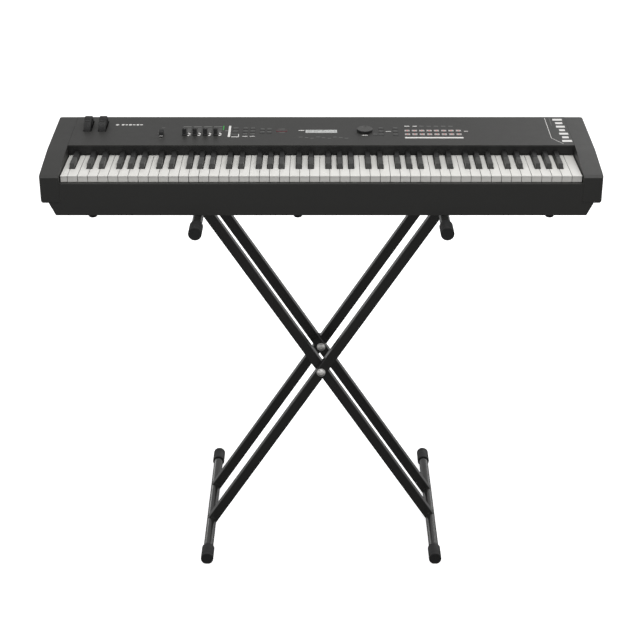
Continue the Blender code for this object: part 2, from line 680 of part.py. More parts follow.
def white_outline(whites):
    """A comb seen from above: the keys in front, joined by a bar at the hinge."""
    half_black = BLACK_WIDTH / 2 + BLACK_CLEARANCE
    cut = BLACK_FRONT - 0.0015
    left, right = white_sides(whites[0])[0], white_sides(whites[-1])[1]
    points = []
    for white in whites:
        low, high = white_sides(white)
        before = black_after(white - 1) if white else None
        after = black_after(white)
        if before is None:
            points += [(low, COMB_BAR_FRONT)] if white != whites[0] else []
            points.append((low, 0.0))
        else:
            points += [(before + half_black, COMB_BAR_FRONT), (before + half_black, cut)]
            points += [(low, cut), (low, 0.0)]
        points.append((high, 0.0))
        if after is None:
            points += [(high, COMB_BAR_FRONT)] if white != whites[-1] else []
        else:
            points += [(high, cut), (after - half_black, cut), (after - half_black, COMB_BAR_FRONT)]
    return points + [(right, COMB_REAR), (left, COMB_REAR)]


def white_comb(name, whites):
    mesh = top_prism([white_outline(whites)], -KEY_HEIGHT, 0.0)
    middle = KEYBOARD_LEFT + (whites[0] + whites[-1] + 1) * KEY_PITCH / 2
    add_node(name, mesh, "white_key", parent=PIANO, origin=(middle, *KEY_PIVOT))


def black_comb(name, centres):
    """Black keys on tails that run back between the white keys to a bar below them."""
    bar_front, bar_bottom, bar_top = BLACK_BAR
    bar = boxes(((centres[0] - BLACK_WIDTH / 2, bar_front, bar_bottom),
                 (centres[-1] + BLACK_WIDTH / 2, COMB_REAR, bar_top)))
    middle = (centres[0] + centres[-1]) / 2
    comb = add_node(name, bar, "black_key", parent=PIANO, origin=(middle, *KEY_PIVOT))
    outline = [
        (BLACK_FRONT, bar_bottom + 0.002),
        (bar_front + 0.006, bar_bottom + 0.002),
        (bar_front + 0.006, -0.001),
        (BLACK_REAR, -0.001),
        (BLACK_REAR, BLACK_TOP),
        (BLACK_TOP_FRONT, BLACK_TOP),
        (BLACK_FRONT, -0.001),
    ]
    half = BLACK_WIDTH / 2
    keys = merge_meshes([side_prism(outline, x - half, x + half) for x in centres])
    combine(comb, add_cutter(name + "_keys", keys, PIANO), "UNION")


def build_keyboard():
    for octave in range(OCTAVES):
        whites = [w for w in range(WHITE_KEYS) if octave_of(w) == octave]
        blacks = [black_after(w) for w in whites if black_after(w) is not None]
        white_comb("white_keys_%d" % (octave + 1), whites)
        black_comb("black_keys_%d" % (octave + 1), blacks)


# ---------------------------------------------------------------- the controls
def build_wheels():
    for name, x in WHEEL_XS.items():
        centre = (x, WHEEL_Y, WHEEL_DEPTH)
        disc = cylinder("x", centre, WHEEL_RADIUS, WHEEL_WIDTH, steps=40)
        wheel = add_node(name, disc, "control_plastic", parent=PANEL, origin=centre, smooth=30)
        hub = cylinder("x", centre, SHAFT_RADIUS + GAP, 2 * WHEEL_WIDTH)
        combine(wheel, add_cutter(name + "_hub", hub, PANEL), "DIFFERENCE")
        notch_z = WHEEL_DEPTH + WHEEL_RADIUS + WHEEL_NOTCH_RADIUS / 2
        notch = cylinder("x", (x, WHEEL_Y - 0.010, notch_z), WHEEL_NOTCH_RADIUS, 2 * WHEEL_WIDTH)
        combine(wheel, add_cutter(name + "_notch", notch, PANEL), "DIFFERENCE")
    apart = WHEEL_XS["mod_wheel"] - WHEEL_XS["pitch_wheel"]
    middle = (WHEEL_XS["mod_wheel"] + WHEEL_XS["pitch_wheel"]) / 2
    plate_half, plate_reach, plate_bottom = 0.0015, 0.012, -0.024
    shaft = cylinder("x", (middle, WHEEL_Y, WHEEL_DEPTH), SHAFT_RADIUS, 2 * apart + 0.004)
    bracket = add_node("wheel_bracket", shaft, "steel", parent=PANEL,
                       origin=(middle, WHEEL_Y, WHEEL_DEPTH), smooth=30)
    plates = [((x - plate_half, WHEEL_Y - plate_reach, plate_bottom),
               (x + plate_half, WHEEL_Y + plate_reach, -SHELL - GAP))
              for x in (middle - apart, middle, middle + apart)]
    combine(bracket, add_cutter("bracket_plates", boxes(*plates), PANEL), "UNION")


def build_slider():
    """A fader cap on a thin stem that comes up through its slot."""
    x, y = SLIDER_X, SLIDER_Y
    cap = [(y - 0.010, CONTROL_GAP), (y + 0.010, CONTROL_GAP), (y + 0.009, 0.012), (y + 0.006, 0.013),
           (y + 0.0015, 0.011), (y - 0.0015, 0.011), (y - 0.006, 0.013), (y - 0.009, 0.012)]
    half_width = 0.00525
    mesh = side_prism(cap, x - half_width, x + half_width)
    slider = add_node("volume_slider", mesh, "control_plastic", parent=PANEL, origin=(x, y, 0.0))
    stem = boxes(((x - 0.0012, y - 0.003, -0.012), (x + 0.0012, y + 0.003, 0.004)))
    combine(slider, add_cutter("slider_stem", stem, PANEL), "UNION")


def build_knobs():
    for number, x in enumerate(KNOB_XS, 1):
        profile = [(0.0, 0.0175), (0.0040, 0.0175), (0.0048, 0.0167), (0.0052, 0.0030),
                   (0.0062, 0.0022), (0.0062, CONTROL_GAP), (SHAFT_RADIUS, CONTROL_GAP),
                   (SHAFT_RADIUS, SHAFT_END), (0.0, SHAFT_END)]
        mesh = turned(profile)
        mesh.transform(Matrix.Translation((x, KNOB_Y, 0)))
        add_node("assign_knob_%d" % number, mesh, "control_plastic", parent=PANEL,
                 origin=(x, KNOB_Y, 0.0), smooth=30)


def build_dial():
    r, h = DIAL_RADIUS, DIAL_HEIGHT
    profile = [(0.0, h), (r - 0.0015, h), (r - 0.0004, h - 0.0008), (r, h - 0.002), (r, CONTROL_GAP),
               (SHAFT_RADIUS, CONTROL_GAP), (SHAFT_RADIUS, SHAFT_END), (0.0, SHAFT_END)]
    x, y = DIAL_CENTRE
    mesh = turned(profile, 40)
    mesh.transform(Matrix.Translation((x, y, 0)))
    dial = add_node("data_dial", mesh, "grey_button", parent=PANEL, origin=(x, y, 0.0), smooth=30)
    dimple_radius, dimple_behind, dimple_depth = 0.010, 0.0105, 0.0018
    dimple = mesh_from(lambda bm: bmesh.ops.create_uvsphere(
        bm, u_segments=16, v_segments=12, radius=dimple_radius,
        matrix=Matrix.Translation((x, y + dimple_behind, h + dimple_radius - dimple_depth))))
    combine(dial, add_cutter("dial_dimple", dimple, PANEL), "DIFFERENCE")


def button_mat(name, buttons):
    """A rubber mat under the panel whose buttons stand up through its windows."""
    margin = 0.0025
    low = (min(x - w / 2 for x, y, w, d in buttons) - margin,
           min(y - d / 2 for x, y, w, d in buttons) - margin, MAT_TOP - MAT_THICKNESS)
    high = (max(x + w / 2 for x, y, w, d in buttons) + margin,
            max(y + d / 2 for x, y, w, d in buttons) + margin, MAT_TOP)
    origin = [(l + h) / 2 for l, h in zip(low, high)]
    mat = add_node(name, boxes((low, high)), "grey_button", parent=PANEL, origin=origin)
    caps = [((x - w / 2, y - d / 2, MAT_TOP - MAT_THICKNESS / 2), (x + w / 2, y + d / 2, BUTTON_RISE))
            for x, y, w, d in buttons]
    combine(mat, add_cutter(name + "_caps", boxes(*caps), PANEL), "UNION")


def build_switch():
    """A rocker on the back wall that tips about a level axis."""
    x, z = SWITCH_CENTRE
    w, h = SWITCH_SIZE[0] / 2, SWITCH_SIZE[1] / 2
    face = CASE_REAR + 0.0010
    outline = [(CASE_REAR - 0.010, z - 0.5 * h), (face, z - h + 0.0012), (face + 0.0014, z - h + 0.0016),
               (face, z), (face - 0.0004, z + h - 0.0014), (CASE_REAR - 0.010, z + 0.5 * h)]
    mesh = side_prism(outline, x - w, x + w)
    pivot = (x, CASE_REAR - 0.004, z)
    add_node("power_switch", mesh, "control_plastic", parent=PIANO, origin=pivot)


build_stand()
build_lower_case()
build_upper_case()
build_cheek("right_cheek", 1)
build_cheek("left_cheek", -1)
build_inside()
build_feet()
build_keyboard()
build_wheels()
build_slider()
build_knobs()
build_dial()
button_mat("function_buttons", FUNCTION_BUTTONS)
button_mat("navigation_buttons", NAVIGATION_BUTTONS)
button_mat("category_buttons", CATEGORY_BUTTONS)
build_switch()
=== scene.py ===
"""Looks for the digital piano on its double X-stand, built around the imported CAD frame."""

import json
import math
import random

import bmesh
import bpy
from mathutils import Matrix, Vector


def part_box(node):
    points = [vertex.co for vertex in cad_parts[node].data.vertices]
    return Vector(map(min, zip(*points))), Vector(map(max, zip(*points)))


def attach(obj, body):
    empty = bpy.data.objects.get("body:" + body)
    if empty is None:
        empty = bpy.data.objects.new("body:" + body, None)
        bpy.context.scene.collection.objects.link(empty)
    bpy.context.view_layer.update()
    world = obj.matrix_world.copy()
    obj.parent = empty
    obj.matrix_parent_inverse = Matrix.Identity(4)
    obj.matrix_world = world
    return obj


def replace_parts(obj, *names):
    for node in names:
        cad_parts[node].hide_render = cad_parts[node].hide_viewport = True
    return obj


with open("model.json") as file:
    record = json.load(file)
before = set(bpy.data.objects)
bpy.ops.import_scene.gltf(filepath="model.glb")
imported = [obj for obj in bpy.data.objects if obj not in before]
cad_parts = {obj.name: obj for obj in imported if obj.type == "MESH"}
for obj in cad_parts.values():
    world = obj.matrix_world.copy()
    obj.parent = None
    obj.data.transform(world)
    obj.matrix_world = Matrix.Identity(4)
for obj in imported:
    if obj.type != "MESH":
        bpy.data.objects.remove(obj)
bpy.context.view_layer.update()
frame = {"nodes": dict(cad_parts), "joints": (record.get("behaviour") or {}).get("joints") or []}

MM = 0.001
JOINTS = {joint["name"]: joint for joint in frame["joints"]}

# -------- places, from the frame
keys_low, keys_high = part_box("white_keys_1")
KEY_FRONT_Y = keys_low.y
KEY_TOP_Z = keys_high.z
WHITE_KEYS = 52
KEY_SLOT = 1.0 * MM
KEY_PITCH = 23.64 * MM
LOWEST_KEY_LEFT = keys_low.x                 # this key is cut off at the left cheek
KEYBOARD_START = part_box("white_keys_7")[1].x + KEY_SLOT / 2 - WHITE_KEYS * KEY_PITCH
KEY_HEIGHT = keys_high.z - keys_low.z

case_low, case_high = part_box("lower_case")
panel_low, panel_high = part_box("upper_case")
cheek_low, cheek_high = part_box("right_cheek")
dial_axis = Vector(JOINTS["data_turn"]["axis"]).normalized()
dial_point = Vector(JOINTS["data_turn"]["pos_m"])
PANEL_UP = Vector((0.0, -dial_axis.z, dial_axis.y)) * -1.0      # up the slope, away from the player
PANEL_FRONT_Y = panel_low.y
PANEL_ORIGIN = dial_point - PANEL_UP * ((dial_point.y - PANEL_FRONT_Y) / PANEL_UP.y)
PANEL_ORIGIN.x = 0.0
PANEL = Matrix((
    (1, 0, 0, 0),
    (0, PANEL_UP.y, dial_axis.y, PANEL_ORIGIN.y),
    (0, PANEL_UP.z, dial_axis.z, PANEL_ORIGIN.z),
    (0, 0, 0, 1),
))
PIANO = Matrix.Translation((0.0, KEY_FRONT_Y, KEY_TOP_Z))

fold = JOINTS["stand_fold"]
RAIL = Vector(fold["pos_m"])
PIVOT = Vector(JOINTS["cross_pivot"]["pos_m"])
ARM = Vector(JOINTS["arm_level"]["pos_m"])
rail_low, rail_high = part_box("left_floor_rail")
cap_low, cap_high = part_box("left_floor_cap_front")
RAIL_RADIUS = (rail_high.x - rail_low.x) / 2
CAP_RADIUS = (cap_high.x - cap_low.x) / 2
CAP_LENGTH = cap_high.y - cap_low.y


# -------- materials
def principled(name, colour, roughness, metallic=0.0, **inputs):
    material = bpy.data.materials.new(name)
    material.use_nodes = True
    shader = material.node_tree.nodes["Principled BSDF"]
    shader.inputs["Base Color"].default_value = (*colour, 1.0)
    shader.inputs["Roughness"].default_value = roughness
    shader.inputs["Metallic"].default_value = metallic
    for socket, value in inputs.items():
        shader.inputs[socket.replace("_", " ")].default_value = value
    return material, material.node_tree, shader


def noise(tree, scale, detail=4.0, stretch=None):
    """A noise texture in the object's own coordinates, stretched along an axis if asked."""
    coordinates = tree.nodes.new("ShaderNodeTexCoord")
    texture = tree.nodes.new("ShaderNodeTexNoise")
    texture.inputs["Scale"].default_value = scale
    texture.inputs["Detail"].default_value = detail
    source = coordinates.outputs["Object"]
    if stretch is not None:
        mapping = tree.nodes.new("ShaderNodeMapping")
        mapping.inputs["Scale"].default_value = stretch
        tree.links.new(source, mapping.inputs["Vector"])
        source = mapping.outputs["Vector"]
    tree.links.new(source, texture.inputs["Vector"])
    return texture.outputs["Fac"]


def ranged(tree, value, low, high, start=0.3, end=0.7):
    """Map a noise value from start..end to low..high."""
    node = tree.nodes.new("ShaderNodeMapRange")
    node.inputs["From Min"].default_value = start
    node.inputs["From Max"].default_value = end
    node.inputs["To Min"].default_value = low
    node.inputs["To Max"].default_value = high
    tree.links.new(value, node.inputs["Value"])
    return node.outputs["Result"]


def tinted(tree, value, dark, light):
    node = tree.nodes.new("ShaderNodeMix")
    node.data_type = "RGBA"
    node.inputs["A"].default_value = (*dark, 1.0)
    node.inputs["B"].default_value = (*light, 1.0)
    tree.links.new(value, node.inputs["Factor"])
    return node.outputs["Result"]


def bumped(tree, shader, value, strength, distance):
    node = tree.nodes.new("ShaderNodeBump")
    node.inputs["Strength"].default_value = strength
    node.inputs["Distance"].default_value = distance
    tree.links.new(value, node.inputs["Height"])
    tree.links.new(node.outputs["Normal"], shader.inputs["Normal"])


def textured(name, colour, roughness, grain, depth, spread=0.12, vary=0.12, metallic=0.0,
             patch=9.0, stretch=None, **inputs):
    """A surface with fine grain in relief, and slow changes of tone and gloss."""
    material, tree, shader = principled(name, colour, roughness, metallic, **inputs)
    slow = noise(tree, patch, 3.0)
    dark = tuple(c * (1 - vary) for c in colour)
    light = tuple(c * (1 + vary) for c in colour)
    tone = ranged(tree, slow, 0.0, 1.0)
    tree.links.new(tinted(tree, tone, dark, light), shader.inputs["Base Color"])
    gloss = noise(tree, patch * 5, 5.0, stretch)
    tree.links.new(ranged(tree, gloss, roughness - spread, roughness + spread),
                   shader.inputs["Roughness"])
    bumped(tree, shader, noise(tree, grain, 2.0, stretch), 0.6, depth)
    return material


def glowing(name, colour, strength):
    material, tree, shader = principled(name, colour, 0.3)
    shader.inputs["Emission Color"].default_value = (*colour, 1.0)
    shader.inputs["Emission Strength"].default_value = strength
    bumped(tree, shader, noise(tree, 900.0), 0.2, 0.05 * MM)
    return material


LOOK = {
    "case": textured("case_textured_plastic", (0.0215, 0.0215, 0.0200), 0.55, 1600, 0.04 * MM, 0.02, 0.03),
    "panel": textured("panel_textured_plastic", (0.0275, 0.0271, 0.0254), 0.48, 1800, 0.03 * MM, 0.02, 0.03),
    # Near-black: painted shade on the wall above the keys, and the dark seam lines.
    "wall": textured("key_wall_painted_shade_and_seams", (0.0045, 0.0045, 0.0043), 0.60, 1600, 0.04 * MM, 0.03, 0.05),
    "white_key": textured("white_key_plastic", (0.80, 0.79, 0.755), 0.22, 700, 0.01 * MM, 0.06, 0.015,
                          patch=14, Coat_Weight=0.25, Coat_Roughness=0.12),
    # Grey for the sides of the white keys: painted shade in the gaps between them.
    "key_gap_shade": textured("white_key_side", (0.20, 0.195, 0.185), 0.40, 700, 0.02 * MM),
    "black_key": textured("black_key_plastic", (0.036, 0.036, 0.034), 0.42, 1400, 0.04 * MM, 0.08, 0.10),
    # Dark stem plastic, also the painted shade on the rear of the black keys' tops.
    "key_stem_and_shade": textured("black_key_stem", (0.006, 0.006, 0.0058), 0.55, 1400, 0.03 * MM),
    "paint": textured("black_gloss_paint", (0.0180, 0.0180, 0.0170), 0.22, 420, 0.02 * MM, 0.04, 0.08,
                      patch=12, Coat_Weight=0.3, Coat_Roughness=0.14),
    "rubber": textured("black_rubber", (0.010, 0.010, 0.0103), 0.62, 900, 0.08 * MM, 0.10, 0.18),
    "disc": textured("black_rubber_face", (0.008, 0.008, 0.0083), 0.64, 900, 0.06 * MM, 0.10, 0.15),
    "zinc": textured("bright_zinc", (0.88, 0.87, 0.85), 0.52, 500, 0.03 * MM, 0.10, 0.10, 1.0,
                     stretch=(1.0, 6.0, 1.0)),
    "steel": textured("plain_steel", (0.50, 0.50, 0.50), 0.32, 500, 0.03 * MM, 0.10, 0.08, 1.0,
                      stretch=(8.0, 1.0, 1.0)),
    "control": textured("control_rubber", (0.013, 0.013, 0.013), 0.55, 1200, 0.05 * MM),
    "wheel": textured("wheel_rubber", (0.006, 0.0058, 0.0058), 0.55, 1000, 0.06 * MM),
    "button": textured("dark_button_rubber", (0.040, 0.040, 0.039), 0.50, 1200, 0.03 * MM),
    "dial": textured("dial_plastic", (0.060, 0.059, 0.057), 0.42, 600, 0.03 * MM, stretch=(1.0, 1.0, 4.0)),
    "pale_button": textured("pale_button_rubber", (0.46, 0.44, 0.43), 0.45, 900, 0.02 * MM, 0.08, 0.05),
    "red_button": textured("red_button_rubber", (0.20, 0.022, 0.035), 0.45, 900, 0.03 * MM, 0.08, 0.10),
    "ink": textured("white_ink", (0.74, 0.73, 0.71), 0.50, 1500, 0.01 * MM, 0.08, 0.04),
    "grey_ink": textured("grey_ink", (0.15, 0.15, 0.146), 0.50, 1500, 0.01 * MM, 0.08, 0.06),
    "screen": textured("lcd_screen", (0.50, 0.51, 0.50), 0.20, 500, 0.01 * MM, 0.05, 0.03,
                       Coat_Weight=0.6, Coat_Roughness=0.05),
    "pixel": textured("lcd_marks", (0.20, 0.21, 0.20), 0.25, 500, 0.01 * MM, 0.05, 0.04),
    "red_led": glowing("red_lamp", (0.55, 0.09, 0.07), 0.25),
    "green_led": glowing("green_lamp", (0.01, 0.30, 0.03), 0.25),
    "board": textured("circuit_board_mask", (0.010, 0.075, 0.030), 0.38, 300, 0.03 * MM),
    "copper": textured("contact_gold", (0.75, 0.52, 0.22), 0.30, 500, 0.02 * MM, metallic=1.0),
    "felt": textured("red_felt", (0.16, 0.012, 0.014), 0.92, 2500, 0.20 * MM),
}


# -------- mesh helpers
def even_normals(piece):
    """Keep large faces flat where they meet rounded edges."""
    modifier = piece.modifiers.new("even_normals", "WEIGHTED_NORMAL")
    modifier.weight = 100
    modifier.keep_sharp = True


def finish_piece(name, bm, look, body, place=None, smooth=35, looks=()):
    """Turn a bmesh into a piece that rides on a body; place maps it to the row frame."""
    if place is not None:
        bmesh.ops.transform(bm, matrix=place, verts=bm.verts)
    bmesh.ops.recalc_face_normals(bm, faces=bm.faces)
    mesh = bpy.data.meshes.new(name)
    bm.to_mesh(mesh)
    bm.free()
    for kind in (look, *looks):
        mesh.materials.append(LOOK[kind])
    mesh.shade_smooth()
    mesh.set_sharp_from_angle(angle=math.radians(smooth))
    piece = bpy.data.objects.new(name, mesh)
    bpy.context.scene.collection.objects.link(piece)
    even_normals(piece)
    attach(piece, body)
    return piece


def add_box(bm, low, high, round_by=0.0, segments=2, material=0):
    size = [h - l for l, h in zip(low, high)]
    centre = [(h + l) / 2 for l, h in zip(low, high)]
    made = bmesh.ops.create_cube(bm, size=1.0, matrix=Matrix.LocRotScale(centre, None, size))
    faces = {face for vert in made["verts"] for face in vert.link_faces}
    edges = {edge for vert in made["verts"] for edge in vert.link_edges}
    if round_by:
        rounded = bmesh.ops.bevel(bm, geom=list(edges), offset=round_by, segments=segments,
                                  profile=0.5, affect="EDGES", clamp_overlap=True)
        faces = {face for face in faces if face.is_valid} | set(rounded["faces"])
    for face in faces:
        face.material_index = material
    return faces


def add_prism(bm, outline, low, high, axis="z", material=0):
    """Extrude an outline: (x, y) along z, (y, z) along x, or (x, z) along y."""
    def at(point, level):
        u, v = point
        return {"z": (u, v, level), "x": (level, u, v), "y": (u, level, v)}[axis]
    ends = [[bm.verts.new(at(point, level)) for point in outline] for level in (low, high)]
    faces = [bm.faces.new(ends[0]), bm.faces.new(list(reversed(ends[1])))]
    count = len(outline)
    for i in range(count):
        j = (i + 1) % count
        faces.append(bm.faces.new((ends[0][i], ends[0][j], ends[1][j], ends[1][i])))
    for face in faces:
        face.material_index = material
    return ends, faces


TO_AXIS = {
    "x": Matrix.Rotation(math.pi / 2, 4, "Y"),
    "y": Matrix.Rotation(-math.pi / 2, 4, "X"),
    "z": Matrix.Identity(4),
}


def add_turned(bm, profile, centre=(0, 0, 0), axis="z", steps=48, material=0, shape=None):
    """Turn an (r, h) profile about an axis; shape(angle, r, h) may change each point."""
    place = Matrix.Translation(centre) @ TO_AXIS[axis]
    rings = []
    for r, h in profile:
        if r == 0.0:
            rings.append([bm.verts.new(place @ Vector((0, 0, h)))])
            continue
        ring = []
        for i in range(steps):
            angle = 2 * math.pi * i / steps
            rr, hh = shape(angle, r, h) if shape else (r, h)
            ring.append(bm.verts.new(place @ Vector((rr * math.cos(angle), rr * math.sin(angle), hh))))
        rings.append(ring)
    for first, second in zip(rings, rings[1:]):
        for i in range(steps):
            j = (i + 1) % steps
            a = (first[i % len(first)], first[j % len(first)])
            b = (second[i % len(second)], second[j % len(second)])
            corners = list(dict.fromkeys((a[0], a[1], b[1], b[0])))
            bm.faces.new(corners).material_index = material


def soften(bm, width, segments=2, angle=30):
    """Round the sharp edges of everything in the mesh so far."""
    bmesh.ops.recalc_face_normals(bm, faces=bm.faces)
    bm.normal_update()
    sharp = [e for e in bm.edges if len(e.link_faces) == 2 and e.calc_face_angle(0) > math.radians(angle)]
    bmesh.ops.bevel(bm, geom=sharp, offset=width, segments=segments, profile=0.5,
                    affect="EDGES", clamp_overlap=True, loop_slide=True)


def repaint(node, look):
    """Give a CAD node that stays in view one of these materials."""
    thing = frame["nodes"][node]
    for entry in thing.material_slots:
        entry.material = LOOK[look]


def cut(piece, cutter):
    """Subtract a mesh piece and apply it."""
    piece.modifiers.clear()
    modifier = piece.modifiers.new("cut", "BOOLEAN")
    modifier.operation = "DIFFERENCE"
    modifier.solver = "EXACT"
    modifier.object = cutter
    bpy.context.view_layer.update()
    evaluated = piece.evaluated_get(bpy.context.evaluated_depsgraph_get())
    mesh = bpy.data.meshes.new_from_object(evaluated)
    piece.modifiers.clear()
    old, piece.data = piece.data, mesh
    bpy.data.meshes.remove(old)
    bpy.data.objects.remove(cutter, do_unlink=True)
    even_normals(piece)


def cutter_from(bm):
    mesh = bpy.data.meshes.new("cutter")
    bm.to_mesh(mesh)
    bm.free()
    cutter = bpy.data.objects.new("cutter", mesh)
    bpy.context.scene.collection.objects.link(cutter)
    return cutter


# -------- the stand
def round_rail(name, body, x, z, node):
    """A round steel tube with open ends inside its caps."""
    low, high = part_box(node)
    bm = bmesh.new()
    inner = RAIL_RADIUS - 1.5 * MM
    length = high.y - low.y
    profile = [(inner, 0.0), (RAIL_RADIUS - 0.3 * MM, 0.0), (RAIL_RADIUS, 0.3 * MM),
               (RAIL_RADIUS, length / 2), (RAIL_RADIUS, length - 0.3 * MM),
               (RAIL_RADIUS - 0.3 * MM, length), (inner, length), (inner, 0.0)]
    add_turned(bm, profile, (x, low.y, z), "y", 64)
    bmesh.ops.remove_doubles(bm, verts=bm.verts, dist=0.001 * MM)
    piece = finish_piece(name, bm, "paint", body)
    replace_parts(piece, node)


def end_cap(name, body, x, z, node, side):
    """A moulded rubber cap with a rolled lip, grip rings and a recessed end face."""
    low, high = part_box(node)
    bm = bmesh.new()
    r, length = CAP_RADIUS, CAP_LENGTH
    bore = RAIL_RADIUS + 0.25 * MM
    profile = [(0.0, length - 0.5 * MM), (r - 3.4 * MM, length - 0.5 * MM),
               (r - 2.9 * MM, length - 0.05 * MM), (r - 2.4 * MM, length), (r - 1.1 * MM, length),
               (r - 0.4 * MM, length - 0.3 * MM), (r - 0.1 * MM, length - 1.0 * MM), (r, length - 2.0 * MM)]
    for ring in range(3):
        h = length - 7.5 * MM - ring * 3.4 * MM
        profile += [(r, h + 0.7 * MM), (r - 0.25 * MM, h + 0.4 * MM), (r - 0.25 * MM, h - 0.4 * MM),
                    (r, h - 0.7 * MM)]
    profile += [(r, 3.0 * MM), (r, 1.0 * MM), (r - 0.15 * MM, 0.3 * MM), (r - 0.5 * MM, 0.0),
                (bore, 0.0), (bore, length - 5.0 * MM), (0.0, length - 5.0 * MM)]
    add_turned(bm, profile, steps=64)
    for face in bm.faces:
        centre = face.calc_center_median()
        if centre.z > length - 1.5 * MM:
            face.material_index = 1
    turn = Matrix.Rotation(-side * math.pi / 2, 4, "X")
    base = low.y if side > 0 else high.y
    place = Matrix.Translation((x, base, z)) @ turn
    bmesh.ops.transform(bm, matrix=place, verts=bm.verts)
    if low.z < 0.5 * MM:                                  # the moulded flat that stands on the floor
        for vert in bm.verts:
            vert.co.z = max(vert.co.z, 0.0)
    piece = finish_piece(name, bm, "rubber", body, looks=("disc",))
    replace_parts(piece, node)


def leg_tube(name, body, y, lean, node):
    """A rounded rectangular tube, coped to fit round the rails, with weld beads at its ends."""
    half_length = (ARM - RAIL).length / 2
    half_width, half_depth, corner = 12.5 * MM, 10.0 * MM, 1.3 * MM
    outline = []
    for cx, cy, start in ((1, 1, 0), (-1, 1, 90), (-1, -1, 180), (1, -1, 270)):
        for i in range(6):
            turn = math.radians(start + 18 * i)
            outline.append((cx * (half_width - corner) + corner * math.cos(turn),
                            cy * (half_depth - corner) + corner * math.sin(turn)))
    bm = bmesh.new()
    add_prism(bm, outline, -half_length + 2 * MM, half_length - 2 * MM)
    place = Matrix.Translation((PIVOT.x, y, PIVOT.z)) @ Matrix.Rotation(lean, 4, "Y")
    piece = finish_piece(name, bm, "paint", body, place)
    ends = bmesh.new()
    for end in (-1, 1):
        centre = place @ Vector((0, 0, end * half_length))
        bmesh.ops.create_cone(ends, cap_ends=True, segments=64, radius1=RAIL_RADIUS + 0.3 * MM,
                              radius2=RAIL_RADIUS + 0.3 * MM, depth=0.2,
                              matrix=Matrix.Translation((centre.x, y, centre.z)) @ TO_AXIS["y"])
    bore_radius = 4.3 * MM
    bmesh.ops.create_cone(ends, cap_ends=True, segments=32, radius1=bore_radius, radius2=bore_radius,
                          depth=0.2, matrix=Matrix.Translation((0, y, PIVOT.z)) @ TO_AXIS["y"])
    cut(piece, cutter_from(ends))
    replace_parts(piece, node)
    for end, label in ((-1, "foot"), (1, "head")):
        weld_bead(name + "_weld_" + label, body, place, end * half_length, end, half_width, half_depth)


BEAD_STEPS = 96
BEAD_SIDES = 8


def weld_bead(name, body, place, level, end, half_width, half_depth):
    """A rippled bead round the tube where it meets the round rail."""
    bm = bmesh.new()
    rows = []
    reach = RAIL_RADIUS + 0.4 * MM
    for i in range(BEAD_STEPS):
        turn = 2 * math.pi * i / BEAD_STEPS
        c, s = math.cos(turn), math.sin(turn)
        stretch = 1.0 / max(abs(c) ** 9 + abs(s) ** 9, 1e-6) ** (1 / 9)
        u, v = half_width * c * stretch, half_depth * s * stretch
        drop = math.sqrt(max(reach ** 2 - min(abs(u), reach) ** 2, 0.0))
        centre = Vector((u, v, level - end * (drop + 0.2 * MM)))
        out = Vector((u / half_width, v / half_depth, 0.0)).normalized()
        thick = (0.95 + 0.2 * math.sin(26 * turn)) * MM
        row = []
        for k in range(BEAD_SIDES):
            a = 2 * math.pi * k / BEAD_SIDES
            offset = out * math.cos(a) + Vector((0, 0, 1)) * math.sin(a)
            row.append(bm.verts.new(centre + offset * thick * 0.8))
        rows.append(row)
    for i in range(BEAD_STEPS):
        for k in range(BEAD_SIDES):
            j, m = (i + 1) % BEAD_STEPS, (k + 1) % BEAD_SIDES
            bm.faces.new((rows[i][k], rows[j][k], rows[j][m], rows[i][m]))
    finish_piece(name, bm, "paint", body, place, smooth=60)


